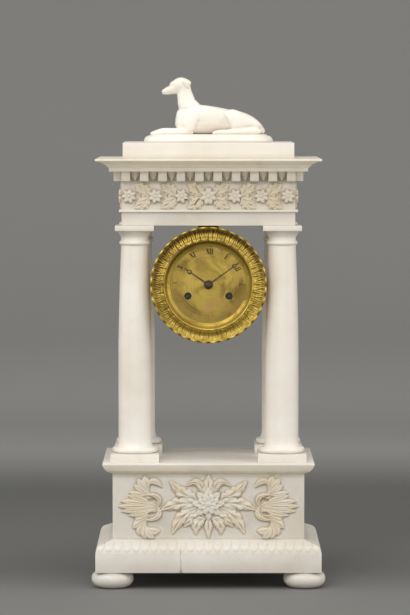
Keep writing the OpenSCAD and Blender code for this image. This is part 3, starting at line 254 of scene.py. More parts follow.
def build_stone(name, node, material, half_x, half_y, steps, rounding, angle=35):
    """A moulded block with rounded edges, as a piece that replaces a node."""
    bm = bmesh.new()
    add_block(bm, half_x, half_y, steps)
    soften(bm, rounding, angle)
    finish_piece(name, bm, material, [node])


def arc(start, end, steps):
    """Angles from start to end in degrees, as radians."""
    return [math.radians(start + (end - start) * i / steps) for i in range(steps + 1)]


def held(value):
    """A number held between 0 and 1."""
    return min(1.0, max(0.0, value))


# Carving as height fields


def bezier(points, count=18):
    """Points along a curve with these control points."""
    u = np.linspace(0, 1, count)[:, None]
    layer = [np.array(p, float) for p in points]
    while len(layer) > 1:
        layer = [a * (1 - u) + b * u for a, b in zip(layer, layer[1:])]
    return layer[0]


def along_spine(x, z, spine):
    """Share of the way along a spine and signed distance from it, for each point."""
    nearest = np.full(x.shape, 1e9)
    share = np.zeros(x.shape)
    aside = np.zeros(x.shape)
    last = len(spine) - 1
    for i in range(last):
        run = spine[i + 1] - spine[i]
        from_x = x - spine[i][0]
        from_z = z - spine[i][1]
        u = np.clip((from_x * run[0] + from_z * run[1]) / (run @ run), 0, 1)
        far = np.hypot(from_x - u * run[0], from_z - u * run[1])
        closer = far < nearest
        nearest = np.where(closer, far, nearest)
        share = np.where(closer, (i + u) / last, share)
        aside = np.where(closer, np.sign(run[0] * from_z - run[1] * from_x) * far, aside)
    return share, aside


def leaf_field(x, z, points, width, rise, lobes=0, flutes=1, belly=0.75, cup=0.25):
    """Height of a carved leaf along a curve: lobed outline, midrib and flutes."""
    t, d = along_spine(x, z, bezier(points))
    half = width / 2 * np.sin(np.pi * np.clip(t, 0.015, 0.985) ** belly) ** 0.7
    if lobes:
        half = half * (0.66 + 0.34 * np.abs(np.cos(np.pi * (lobes * t + 0.15))) ** 0.6)
    q = np.abs(d) / np.maximum(half, 0.05)
    crown = np.clip(1 - q**4, 0, 1) ** 0.5
    rib = 1 - 0.30 * np.exp(-((q / 0.13) ** 2))
    flute = 1 - cup * 0.5 * (1 - np.cos(2 * np.pi * flutes * q - 1.2 * np.pi * lobes * t))
    lift = 0.55 + 0.45 * np.sin(np.pi * np.clip(t, 0, 1) ** 1.2)
    return np.where(q < 1, rise * crown * rib * flute * lift, 0)


def flower_field(x, z, centre, radius, rise, petals, turn=0.0):
    """Height of a star flower with pointed petals and a round eye."""
    dx = x - centre[0]
    dz = z - centre[1]
    r = np.hypot(dx, dz)
    wave = np.abs(np.cos(petals / 2 * (np.arctan2(dz, dx) + turn)))
    edge = radius * (0.7 + 0.3 * wave**1.6)
    q = r / edge
    fall = 0.8 + 0.2 * np.clip(r / radius, 0, 1)
    petal = np.clip(1 - q**6, 0, 1) ** 0.5 * (0.74 + 0.26 * wave) * fall
    eye = np.sqrt(np.clip(1 - (r / (0.24 * radius)) ** 2, 0, 1)) * 1.05
    ditch = 1 - 0.22 * np.exp(-(((r - 0.28 * radius) / (0.07 * radius)) ** 2))
    return np.where(q < 1, rise * np.maximum(petal * ditch, eye), 0)


def raised(field, relief):
    """A field with its height, a share till now, in millimetres."""
    height, tone, dirt = field
    return relief * height, tone, dirt


def blur(field, reach):
    """Mean of a field over a square neighbourhood."""
    out = field
    for axis in (0, 1):
        padded = np.pad(out, [(reach, reach) if a == axis else (0, 0) for a in (0, 1)], mode="edge")
        out = sum(np.roll(padded, s, axis) for s in range(-reach, reach + 1)) / (2 * reach + 1)
        cut = [slice(None), slice(None)]
        cut[axis] = slice(reach, -reach)
        out = out[tuple(cut)]
    return out


# Reach of the dirt and painted shade round a carved form, and the height where the carved tone is full, in
# millimetres
DIRT_AND_SHADE_REACH = 1.6
FULL_TONE_AT = 0.8


def add_relief(bm, width, height, cell, field, place):
    """A grid carved to a field of height, tone and dirt with painted shade; place gives a spot from x, z
    and height.

    The layers hollow and carve tell the material where dirt and painted shade lie and where the tone lies.
    """
    layers = bm.verts.layers.float
    hollow_layer = layers.get("hollow") or layers.new("hollow")
    carve_layer = layers.get("carve") or layers.new("carve")
    across = round(width / cell)
    up = round(height / cell)
    made = bmesh.ops.create_grid(bm, x_segments=across, y_segments=up, size=0.5)["verts"]
    flat = np.array([v.co for v in made])
    order = np.lexsort((flat[:, 0], flat[:, 1]))
    x = (flat[order, 0] * width).reshape(up + 1, across + 1)
    z = (flat[order, 1] * height).reshape(up + 1, across + 1)
    h, tone, dirt = field(x, z)
    reach = max(1, round(DIRT_AND_SHADE_REACH / cell))
    around = blur(h, 2 * reach)
    # Darker round and between the carved forms: dirt and painted shade
    hollow = np.clip((blur(h, reach) - h) * 0.75 + (around - h) * 0.35 + dirt, 0, 0.8)
    hollow = np.where(dirt > 1, 1.0, hollow)
    carve = np.clip(h / FULL_TONE_AT, 0, 1) * tone
    spots = place(x, z, h)
    keep = around.ravel() > 1e-4
    bare = []
    for rank, index in enumerate(order):
        v = made[index]
        row, column = divmod(rank, across + 1)
        v.co = [float(axis[row, column]) for axis in spots]
        v[hollow_layer] = float(hollow[row, column])
        v[carve_layer] = float(carve[row, column])
        if not keep[rank]:
            bare.append(v)
    bmesh.ops.delete(bm, geom=bare, context="VERTS")


# Node helpers and shared effects


def set_values(node, values):
    """Sets inputs of a node to plain values."""
    for name, value in values.items():
        node.inputs[name].default_value = value


def add_node(tree, kind, values=None, **options):
    """A node with its options and the values of its inputs."""
    node = tree.nodes.new(kind)
    for name, value in options.items():
        setattr(node, name, value)
    set_values(node, values or {})
    return node


def feed(tree, socket, value):
    """Links a socket to another one, or sets it to a number or a colour."""
    if hasattr(value, "links"):
        tree.links.new(value, socket)
    elif socket.type == "RGBA":
        socket.default_value = (*value, 1)
    else:
        socket.default_value = value


def calculate(tree, operation, a, b=0.5, clamp=False):
    """A maths node on sockets or numbers, giving its output socket."""
    node = add_node(tree, "ShaderNodeMath", operation=operation, use_clamp=clamp)
    feed(tree, node.inputs[0], a)
    feed(tree, node.inputs[1], b)
    return node.outputs[0]


def remap(tree, value, low, high, to_low=0.0, to_high=1.0):
    """A smooth step of a value from one range to another."""
    ends = {"From Min": low, "From Max": high, "To Min": to_low, "To Max": to_high}
    node = add_node(tree, "ShaderNodeMapRange", ends, interpolation_type="SMOOTHSTEP")
    tree.links.new(value, node.inputs["Value"])
    return node.outputs["Result"]


def blend_colour(tree, mask, a, b):
    """A mix of two colours, each a socket or a colour."""
    node = add_node(tree, "ShaderNodeMix", data_type="RGBA")
    tree.links.new(mask, node.inputs["Factor"])
    for socket, value in zip([s for s in node.inputs if s.type == "RGBA"], (a, b)):
        feed(tree, socket, value)
    return next(s for s in node.outputs if s.type == "RGBA")


def lay_over(tree, base, mask, share, over):
    """A colour laid over another one by a mask and a share of it."""
    return blend_colour(tree, calculate(tree, "MULTIPLY", mask, share), base, over)


def dimmed(tint, share):
    """A colour times a number."""
    return [c * share for c in tint]


def noise(tree, vector, scale, detail=4.0, rough=0.5, distortion=0.0):
    """A noise texture on a vector socket, giving its value."""
    values = {"Scale": scale, "Detail": detail, "Roughness": rough, "Distortion": distortion}
    node = add_node(tree, "ShaderNodeTexNoise", values)
    tree.links.new(vector, node.inputs["Vector"])
    return node.outputs["Fac"]


def object_place(tree):
    """Place on the object, in metres."""
    return add_node(tree, "ShaderNodeTexCoord").outputs["Object"]


def split_axes(tree, vector):
    """The X, Y and Z of a vector socket."""
    node = add_node(tree, "ShaderNodeSeparateXYZ")
    tree.links.new(vector, node.inputs[0])
    return node.outputs


def attribute(tree, name):
    """A number that the mesh keeps at each of its points."""
    return add_node(tree, "ShaderNodeAttribute", attribute_name=name).outputs["Fac"]


def vector_maths(tree, operation, vector, other=None):
    """A vector node on a socket and a plain vector."""
    node = add_node(tree, "ShaderNodeVectorMath", operation=operation)
    tree.links.new(vector, node.inputs[0])
    if other:
        node.inputs[1].default_value = other
    return node


def new_group(name, inputs, outputs):
    """An empty shader group with number inputs and outputs."""
    tree = bpy.data.node_groups.new(name, "ShaderNodeTree")
    for label, default in inputs.items():
        socket = tree.interface.new_socket(name=label, in_out="INPUT", socket_type="NodeSocketFloat")
        socket.default_value = default
    for label in outputs:
        tree.interface.new_socket(name=label, in_out="OUTPUT", socket_type="NodeSocketFloat")
    return tree, tree.nodes.new("NodeGroupInput").outputs, tree.nodes.new("NodeGroupOutput").inputs


def new_scaled_group(name, outputs):
    """A shader group that works on the scaled place on the object."""
    tree, given, out = new_group(name, {"Scale": 1.0}, outputs)
    place = vector_maths(tree, "SCALE", object_place(tree))
    tree.links.new(given["Scale"], place.inputs["Scale"])
    return tree, place.outputs[0], out


def stone_group():
    """Clouds, veins and grain of alabaster."""
    tree, at, out = new_scaled_group("Stone clouds", ("Cloud", "Vein", "Grain"))
    cloud = noise(tree, at, 9.0, 6.0, 0.55, 0.7)
    streak = noise(tree, at, 17.0, 5.0, 0.5, 2.2)
    ridge = calculate(tree, "ABSOLUTE", calculate(tree, "SUBTRACT", streak, 0.5))
    thin = remap(tree, ridge, 0.0, 0.028, 1.0, 0.0)
    some = remap(tree, noise(tree, at, 6.0), 0.52, 0.68)
    tree.links.new(remap(tree, cloud, 0.35, 0.68), out["Cloud"])
    tree.links.new(calculate(tree, "MULTIPLY", thin, some), out["Vein"])
    tree.links.new(noise(tree, at, 420.0, 3.0), out["Grain"])


def grime_and_shade_group():
    """Old dirt and painted shade in carved hollows and under mouldings, and dirt alone in thin patches."""
    inputs = {"Hollows": 1.0, "Undersides": 0.5, "Patches": 0.2}
    tree, given, out = new_group("Old grime", inputs, ("Mask", "Under"))
    facing = split_axes(tree, add_node(tree, "ShaderNodeNewGeometry").outputs["Normal"])
    # Faces that look down: painted shade with dirt in the mask, painted light in the stone where it is
    # asked for
    under = remap(tree, facing["Z"], -0.15, -0.9)
    spots = noise(tree, object_place(tree), 55.0, 6.0, 0.6, 0.4)
    in_hollows = calculate(tree, "MULTIPLY", attribute(tree, "hollow"), given["Hollows"])
    in_hollows = calculate(tree, "MULTIPLY", in_hollows, remap(tree, spots, 0.25, 0.6, 0.55, 1.1))
    on_under = calculate(tree, "MULTIPLY", under, given["Undersides"])
    thin = calculate(tree, "MULTIPLY", remap(tree, spots, 0.50, 0.75), given["Patches"])
    both = calculate(tree, "MAXIMUM", in_hollows, on_under)
    tree.links.new(calculate(tree, "MAXIMUM", both, thin, clamp=True), out["Mask"])
    tree.links.new(under, out["Under"])


def patina_group():
    """Wear of old gilding: brown blotches, dark specks and a fine unevenness."""
    tree, at, out = new_scaled_group("Gilding wear", ("Blotch", "Speck", "Grain"))
    tree.links.new(remap(tree, noise(tree, at, 48.0, 5.0, 0.6, 0.8), 0.42, 0.74), out["Blotch"])
    tree.links.new(remap(tree, noise(tree, at, 330.0, 3.0, 0.6), 0.66, 0.76), out["Speck"])
    tree.links.new(noise(tree, at, 700.0, 4.0, 0.6), out["Grain"])


def use_group(tree, name, **values):
    """Places a shared group in a material with its own values."""
    node = add_node(tree, "ShaderNodeGroup", node_tree=bpy.data.node_groups[name])
    set_values(node, values)
    return node.outputs


def new_material(name, values):
    """A material with its node tree and its shader, whose plain inputs are given."""
    material = bpy.data.materials.new(name)
    material.use_nodes = True
    shader = material.node_tree.nodes["Principled BSDF"]
    set_values(shader, values)
    return material, material.node_tree, shader


def dress(tree, shader, base, rough, height, strength, distance):
    """Feeds a shader's colour and roughness, and a bump with its distance in metres."""
    bump = add_node(tree, "ShaderNodeBump", {"Strength": strength, "Distance": distance})
    tree.links.new(height, bump.inputs["Height"])
    tree.links.new(bump.outputs["Normal"], shader.inputs["Normal"])
    tree.links.new(base, shader.inputs["Base Color"])
    tree.links.new(rough, shader.inputs["Roughness"])


# Materials


def stone_material(
    name, tone, undersides, patches, glow=0.0, stain=0.0, hollows=0.85, carved=False, crack=False
):
    """Alabaster with clouds, veins, dirt and painted shade, a little subsurface scattering, and painted
    light on some faces that look down.
    """
    stone = settings("stone")
    looks = {
        "IOR": 1.52,
        "Subsurface Weight": 0.22,
        "Subsurface Radius": (1.0, 0.72, 0.5),
        "Subsurface Scale": 0.004,
    }
    material, tree, shader = new_material(name, looks)
    clouds = use_group(tree, "Stone clouds", Scale=1.0)
    grime = use_group(tree, "Old grime", Hollows=hollows, Undersides=undersides, Patches=patches)
    light, cloud = (
        [c * tone * (1 - stain) + s * stain for c, s in zip(plain, stone.carved)]
        for plain in (stone.light, stone.cloud)
    )
    base = blend_colour(tree, clouds["Cloud"], light, cloud)
    base = lay_over(tree, base, clouds["Vein"], 0.04, stone.grime)
    # Painted light on faces that look down
    base = lay_over(tree, base, grime["Under"], glow, stone.glow)
    if carved:
        uneven = remap(tree, noise(tree, object_place(tree), 38.0, 4.0), 0.3, 0.7, 0.3, 0.85)
        base = lay_over(tree, base, attribute(tree, "carve"), uneven, stone.carved)
    base = lay_over(tree, base, grime["Mask"], 0.8 if carved else 0.62, stone.grime)
    if carved:
        # Painted shade: the deepest hollows, the garland's slits and the scroll eyes, turn nearly black
        painted_slit_shade = remap(tree, attribute(tree, "hollow"), 0.84, 1.0, 0.0, 0.85)
        base = blend_colour(tree, painted_slit_shade, base, dimmed(stone.grime, 0.2))
    height = clouds["Grain"]
    if crack:
        split = crack_mask(tree)
        base = lay_over(tree, base, split, 0.5, dimmed(stone.grime, 0.4))
        height = calculate(tree, "SUBTRACT", height, calculate(tree, "MULTIPLY", split, 6.0))
    rough = remap(tree, clouds["Grain"], 0.3, 0.7, 0.36, 0.50)
    dress(tree, shader, base, rough, height, 0.25, 0.00012)
    return material


# The crack in the plinth, in millimetres
CRACK_X = -27.0
CRACK_FRONT = -80.0
CRACK_WIDTH = 0.34
CRACK_WANDER = 5
CHIP_HIGH = 5
CHIP_WIDTH = 1.6


def crack_mask(tree):
    """A hairline crack down the front of the plinth, open into a chip at its foot."""
    place = object_place(tree)
    at = split_axes(tree, place)
    uneven = calculate(tree, "SUBTRACT", noise(tree, place, 90.0, 4.0), 0.5)
    wander = calculate(tree, "MULTIPLY", uneven, CRACK_WANDER * MM)
    aside = calculate(tree, "ADD", calculate(tree, "SUBTRACT", at["X"], CRACK_X * MM), wander)
    foot = PLINTH_LOW.z
    chip = remap(tree, at["Z"], (foot + CHIP_HIGH) * MM, foot * MM, 0.0, CHIP_WIDTH * MM)
    width = calculate(tree, "ADD", chip, CRACK_WIDTH * MM)
    open_share = calculate(tree, "DIVIDE", calculate(tree, "ABSOLUTE", aside), width)
    line = remap(tree, open_share, 0.35, 1.0, 1.0, 0.0)
    front = remap(tree, at["Y"], CRACK_FRONT * MM, (CRACK_FRONT - 1) * MM)
    return calculate(tree, "MULTIPLY", line, front)


def gilt_material(name, blotches, hollows, rough, bright=1.0):
    """Old gilding with patina and painted shade in its hollows."""
    metal = settings("metal")
    material, tree, shader = new_material(name, {"Metallic": 1.0})
    wear = use_group(tree, "Gilding wear", Scale=1.0)
    gilt = [min(1, c * bright) for c in metal.gilt]
    base = lay_over(tree, gilt, wear["Blotch"], blotches, metal.patina)
    base = lay_over(tree, base, wear["Speck"], 0.5, metal.patina)
    in_hollows = calculate(tree, "MULTIPLY", attribute(tree, "hollow"), hollows, clamp=True)
    base = blend_colour(tree, in_hollows, base, metal.patina)
    uneven = remap(tree, wear["Blotch"], 0.0, 1.0, rough, rough + 0.2)
    dress(tree, shader, base, uneven, wear["Grain"], 0.2, 0.0001)
    return material


def dial_material(name):
    """Gilt dial with rings of fine turning marks, brown blotches and a few dark specks."""
    metal = settings("metal")
    material, tree, shader = new_material(name, {"Metallic": 0.75})
    wear = use_group(tree, "Gilding wear", Scale=0.8)
    centre = (0, DIAL_FACE * MM, DIAL_Z * MM)
    place = vector_maths(tree, "SUBTRACT", object_place(tree), centre).outputs[0]
    radius = vector_maths(tree, "LENGTH", place).outputs["Value"]
    marks = {"W": 0.0, "Scale": 1400.0, "Detail": 2.0}
    rings = add_node(tree, "ShaderNodeTexNoise", marks, noise_dimensions="1D")
    tree.links.new(radius, rings.inputs["W"])
    turned = rings.outputs["Fac"]
    dulled = [c * f for c, f in zip(metal.gilt, (0.57, 0.55, 0.42))]
    base = blend_colour(tree, remap(tree, turned, 0.3, 0.7, 0.0, 0.6), dulled, dimmed(metal.gilt, 0.3))
    base = lay_over(tree, base, wear["Blotch"], 0.72, metal.patina)
    height = split_axes(tree, place)["Z"]
    rim = remap(tree, radius, 19 * MM, 36 * MM, 0.0, 0.55)
    foot = remap(tree, height, 10 * MM, -14 * MM, 0.45, 1.0)
    base = lay_over(tree, base, rim, foot, metal.patina)
    from_bare = vector_maths(tree, "DISTANCE", place, (1 * MM, 0, -21 * MM)).outputs["Value"]
    bare = remap(tree, from_bare, 2 * MM, 8 * MM, 0.4, 0.0)
    base = blend_colour(tree, bare, base, (0.34, 0.17, 0.09))
    lower = remap(tree, height, 4 * MM, -20 * MM, 0.0, 0.34)
    uneven = remap(tree, noise(tree, object_place(tree), 60.0, 5.0), 0.3, 0.7, 0.5, 1.3)
    base = lay_over(tree, base, lower, uneven, metal.patina)
    base = lay_over(tree, base, wear["Speck"], 0.5, metal.patina)
    rough = remap(tree, wear["Blotch"], 0.0, 1.0, 0.40, 0.55)
    dress(tree, shader, base, rough, turned, 0.12, 0.00006)
    return material


def engraving_material(name):
    """Black wax in the engraved numerals, worn away towards the foot of the dial."""
    metal = settings("metal")
    material, tree, shader = new_material(name, {"Roughness": 0.55, "Specular IOR Level": 0.2})
    place = object_place(tree)
    at = split_axes(tree, place)
    low = remap(tree, at["Z"], (DIAL_Z + 12) * MM, (DIAL_Z - 12) * MM)
    low = calculate(tree, "SUBTRACT", low, remap(tree, at["X"], 20 * MM, 30 * MM, 0.0, 0.3))
    uneven = calculate(tree, "MULTIPLY", noise(tree, place, 320.0, 3.0), 0.9)
    worn = remap(tree, calculate(tree, "ADD", low, uneven), 0.45, 1.0, 0.0, 0.92)
    rubbed_gilt = [0.34 * g + 0.3 * p for g, p in zip(metal.gilt, metal.patina)]
    base = blend_colour(tree, worn, (0.012, 0.009, 0.006), rubbed_gilt)
    tree.links.new(base, shader.inputs["Base Color"])
    tree.links.new(calculate(tree, "MULTIPLY", worn, 0.75), shader.inputs["Metallic"])
    return material


def metal_material(name, tint, rough, streak=0.25, metallic=1.0):
    """Plain worked metal with faint blotches and polishing marks; its tint may name a setting."""
    metal = settings("metal")
    material, tree, shader = new_material(name, {"Metallic": metallic})
    wear = use_group(tree, "Gilding wear", Scale=1.2)
    plain = getattr(metal, tint) if isinstance(tint, str) else tint
    base = lay_over(tree, plain, wear["Blotch"], streak, metal.patina)
    uneven = remap(tree, wear["Grain"], 0.3, 0.7, rough, rough + 0.15)
    dress(tree, shader, base, uneven, wear["Grain"], 0.1, 0.00005)
    return material


def wood_material(name):
    """Raw beech of the hidden dowels, with its grain along the dowel."""
    material, tree, shader = new_material(name, {})
    stretch = add_node(tree, "ShaderNodeMapping", {"Scale": (1, 1, 0.08)})
    tree.links.new(object_place(tree), stretch.inputs["Vector"])
    grain = noise(tree, stretch.outputs[0], 900.0, 5.0, 0.6)
    base = blend_colour(tree, remap(tree, grain, 0.35, 0.65), (0.50, 0.33, 0.18), (0.30, 0.17, 0.08))
    dress(tree, shader, base, remap(tree, grain, 0.3, 0.7, 0.6, 0.75), grain, 0.2, 0.0001)
    return material


# Looks by the material's name: arguments of the function that makes it
# tone lightens or darkens each piece's stone: the cornice, cap and shafts are set lighter and the attic and
# feet darker as painted light and shade; the dentils' strong hollows are painted shade in their gaps, and
# the cornice and cap take painted light on their faces that look down
STONES = {
    "alabaster_shaft": dict(tone=1.08, undersides=0.25, patches=0.08),
    "alabaster_attic": dict(tone=0.95, undersides=0.3, patches=0.1),
    "alabaster_foot": dict(tone=0.9, undersides=0.4, patches=0.2),
    "alabaster_block": dict(tone=1.0, undersides=0.3, patches=0.16),
    "alabaster_cornice": dict(tone=1.12, undersides=0.0, patches=0.2, glow=1.0, stain=0.4),
    "alabaster_cap": dict(tone=1.04, undersides=0.0, patches=0.14, glow=1.0),
    "alabaster_tongue": dict(tone=0.86, undersides=0.6, patches=0.6, stain=0.75),
    "alabaster_dentil": dict(tone=0.92, undersides=0.4, patches=0.2, stain=0.3, hollows=1.4),
    "alabaster_frieze": dict(tone=0.9, undersides=0.4, patches=0.3, stain=0.35),
    "alabaster_figure": dict(tone=1.07, undersides=0.1, patches=0.03),
    "alabaster_carving": dict(tone=0.92, undersides=0.4, patches=0.2, stain=0.12, carved=True),
    "alabaster_garland": dict(tone=0.9, undersides=0.4, patches=0.3, stain=0.35, carved=True),
    "alabaster_die": dict(tone=0.92, undersides=0.4, patches=0.2, stain=0.12),
    "alabaster_plinth": dict(tone=0.92, undersides=0.4, patches=0.14, crack=True),
}
GILDINGS = {
    "gilt_bezel": dict(blotches=0.6, hollows=0.82, rough=0.46, bright=1.14),
    "gilt_bell": dict(blotches=0.3, hollows=0.0, rough=0.25),
}
METALS = {
    "lacquered_brass": dict(tint="brass", rough=0.28),
    "bright_steel": dict(tint="steel", rough=0.3, streak=0.15),
    "hand_steel": dict(tint="blued", rough=0.45, streak=0.1, metallic=0.2),
    "dark_iron": dict(tint=(0.045, 0.04, 0.036), rough=0.55, streak=0.4, metallic=0.5),
    # Painted shadow: the hanger in the gap above the bezel is coloured dark
    "dull_brass": dict(tint=(0.10, 0.065, 0.025), rough=0.55, streak=0.4),
    # Painted shade: the arbor ends are coloured dark as the inside of the winding holes
    "arbor_end": dict(tint=(0.028, 0.026, 0.025), rough=0.5, streak=0.2, metallic=0.3),
    # Painted shade: a black ring round each winding hole, as the hole's dark inside
    "hole_black": dict(tint=(0.012, 0.010, 0.008), rough=0.6, streak=0.1, metallic=0.1),
    "engraved_line": dict(tint=(0.40, 0.275, 0.065), rough=0.5, streak=0.8, metallic=0.75),
}
OTHERS = {"gilt_dial": dial_material, "numeral_wax": engraving_material, "dowel_beech": wood_material}


def material_named(name):
    """A material by name, made the first time it is asked for."""
    found = bpy.data.materials.get(name)
    if found:
        return found
    for make, kinds in ((stone_material, STONES), (gilt_material, GILDINGS), (metal_material, METALS)):
        if name in kinds:
            return make(name, **kinds[name])
    return OTHERS[name](name)


# Shapes of the stone


def foot_profile(low, high):
    """A bun foot: flat below, round belly, drawn in under the plinth."""
    r = (high.x - low.x) / 2
    h = high.z - low.z
    flat = r * 0.5
    belly = h * 0.56
    neck = r * 0.7
    below = [(flat + (r - flat) * math.sin(a), belly * (1 - math.cos(a))) for a in arc(0, 90, 12)]
    above = [(neck + (r - neck) * math.sin(a), belly + (h - belly) * math.cos(a)) for a in arc(82, 0, 12)]
    return [(0, 0)] + below + above + [(0, h)]


# The plinth's slope from its face to the die, as shares of its run and rise: steep, then an even rise
PLINTH_CURVE = np.array(
    [(0, 0), (0.03, 0.15), (0.06, 0.28), (0.1, 0.4), (0.16, 0.5), (0.24, 0.575), (0.34, 0.635), (0.46, 0.7),
     (0.6, 0.78), (0.8, 0.89), (1, 1)]
)


def add_leaf_band(bm, side_x, run, half_at_foot, face, pitch):
    """One side of the leaf band on the plinth's slope, as a height field on the curve."""
    curve = PLINTH_CURVE * (run, PLINTH_HIGH.z - PLINTH_LOW.z - PLINTH_FACE_H)
    steps = np.hypot(*np.diff(curve, axis=0).T)
    marks = np.concatenate([[0], np.cumsum(steps)])
    slope = marks[-1]
    way = np.gradient(curve, axis=0)
    way /= np.hypot(way[:, 0], way[:, 1])[:, None]

    def field(x, z):
        t = z / slope + 0.5
        cell = (x / pitch + 0.5) % 1 - 0.5
        tongue = 0.47 * np.clip(1 - (np.clip(0.8 - t, 0, 1) / 0.7) ** 3, 0, 1) ** 0.5
        q = np.abs(cell) / np.maximum(tongue, 0.02)
        body = np.clip(1 - q**4, 0, 1) ** 0.7
        rib = 1 - 0.3 * np.exp(-((cell / 0.05) ** 2))
        h = np.where(q < 1, body * rib, 0) * np.clip((0.84 - t) * 12, 0, 1) * 0.5
        return h, np.zeros(x.shape), np.zeros(x.shape)

    def place(x, z, h):
        s = np.clip(z + slope / 2, 0, slope)
        back = np.interp(s, marks, curve[:, 0])
        up = np.interp(s, marks, curve[:, 1])
        proud = h + 0.05
        mitre = half_at_foot - back
        across = np.clip(x, -mitre, mitre)
        depth = face - back + proud * np.interp(s, marks, way[:, 1])
        z_at = PLINTH_LOW.z + PLINTH_FACE_H + up + proud * np.interp(s, marks, way[:, 0])
        c, s = side_x
        return depth * c - across * s, depth * s + across * c, z_at

    add_relief(bm, 2 * half_at_foot - 1.0, slope, 0.55, field, place)
    bmesh.ops.dissolve_degenerate(bm, edges=bm.edges[:], dist=1e-4)


def column_profile(height):
    """Profile of a column: torus, ring, swelling shaft, astragal and capital."""
    shaft_r = 16.4
    neck_r = 13.5
    torus_r = 3
    ring_top = 7.6
    shaft_from = 17.1
    neck_at = height - 14.2
    flare_from = neck_at + 7.0
    bead_r = 2.2
    torus = [(19.6 + torus_r * math.cos(a), torus_r * (1 + math.sin(a))) for a in arc(-90, 90, 14)]
    ring = [(18.4, 6.2), (18.0, 6.5), (17.7, 7.0), (17.6, ring_top)]
    hollow = shaft_from - ring_top
    scotia = [
        (shaft_r + 1.2 * (1 - math.sin(a)), ring_top + hollow * (1 - math.cos(a))) for a in arc(4, 90, 12)
    ]
    shaft = []
    for i in range(1, 29):
        u = i / 28
        taper = max(0.0, (u - 0.42) / 0.58) ** 1.6
        shaft.append((shaft_r - (shaft_r - neck_r) * taper, shaft_from + (neck_at - shaft_from) * u))
    bead = [
        (neck_r + 1.8 * math.cos(a), neck_at + bead_r * (1 + math.sin(a))) for a in arc(-78, 84, 12)
    ]
    flare = [(neck_r, neck_at + 4.8)]
    for i in range(1, 13):
        u = i / 12
        flare.append((neck_r + 4.6 * u**1.4, flare_from + (height - flare_from) * u))
    return [(0, 0)] + torus + ring + scotia + shaft + bead + flare + [(0, height)]


def add_dentil_tongue(bm, width, height, place):
    """A pointed tongue that hangs in the gap between two dentils."""
    made = bmesh.ops.create_grid(bm, x_segments=6, y_segments=7, size=0.5)["verts"]
    for v in made:
        down = 0.5 - v.co.y
        half = width / 2 * max(0.03, 1 - down**1.4)
        u = v.co.x * 2
        v.co = (u * half, -2.6 * math.sqrt(max(0.0, 1 - u * u)) * (1 - 0.55 * down) - 0.1, -height * down)
    bmesh.ops.transform(bm, matrix=place, verts=made)


def each_side(half_w, half_d):
    """Turn to each side of the case, its half length and its distance from the middle."""
    return (
        (Matrix.Rotation(0, 4, "Z"), half_w, half_d),
        (Matrix.Rotation(math.pi, 4, "Z"), half_w, half_d),
        (Matrix.Rotation(math.pi / 2, 4, "Z"), half_d, half_w),
        (Matrix.Rotation(-math.pi / 2, 4, "Z"), half_d, half_w),
    )


# The die's leaf spray for the right half: control points, width, lobes
SPRAY_Z = 82.5
SPRAY_LEAVES = (
    ([(9, 86), (27, 90), (37.8, 105.3)], 13.5, 5),
    ([(9, 78), (28, 74), (35.5, 52.6)], 14.5, 5),
    ([(10, 82), (30, 86), (46.8, 76)], 14.5, 5),
    ([(5, 90), (7, 111), (21.8, 100)], 9, 3),
    ([(3, 69), (14, 72), (24, 59.5)], 13.5, 5),
    ([(3, 68), (14, 66), (12, 51.8)], 12.5, 4),
    ([(0, 86), (0, 98), (0, 111.3)], 14, 4),
    ([(0, 70), (0, 58), (0, 48.7)], 8.5, 2),
)
# Flutes of the scrolls, all from near their eyes: control points and width
SCROLL_FLUTES = (
    ([(57, 91), (68, 91), (78, 93.8)], 6),
    ([(57, 92.5), (66, 95), (72.8, 101)], 7),
    ([(58, 94), (65, 99), (69.8, 107.4)], 7.5),
    ([(58.5, 95), (61, 103), (63.2, 109.6)], 7.5),
    ([(60, 96), (60, 107), (52, 107.5), (45.8, 98.6)], 6.5),
    ([(58, 69), (66, 68), (72.5, 65)], 6),
    ([(59, 67.5), (68, 64.5), (74.6, 58.4)], 7.5),
    ([(60, 66), (68, 58.5), (68.4, 51.4)], 8),
    ([(61, 64), (64.5, 55), (61.6, 48.3)], 8),
    ([(61.5, 62.5), (61, 52), (53.5, 48.9)], 8),
    ([(62, 61), (57.5, 53), (47.8, 56.3)], 8),
    ([(52, 81), (66, 88), (78.6, 90.2)], 6.5),
    ([(51, 77.5), (62, 70.5), (72.5, 68.2)], 6.5),
    ([(51, 78), (64, 73), (78.6, 70.9)], 6.5),
    ([(51, 80.5), (68, 83.5), (86.3, 85)], 6.5),
    ([(51, 78.8), (68, 76), (85.7, 75)], 6.5),
    ([(49.5, 79.5), (68, 79.6), (88.8, 80)], 6.5),
)
SCROLL_FOLDS = (
    ([(50, 80), (45.6, 88), (51, 92.5), (63, 91.5)], 5),
    ([(50, 79), (45.2, 71), (51, 66), (62.5, 66.5)], 5),
)
SCROLL_EYES = ((56.2, 86.3), (56.4, 72.9))


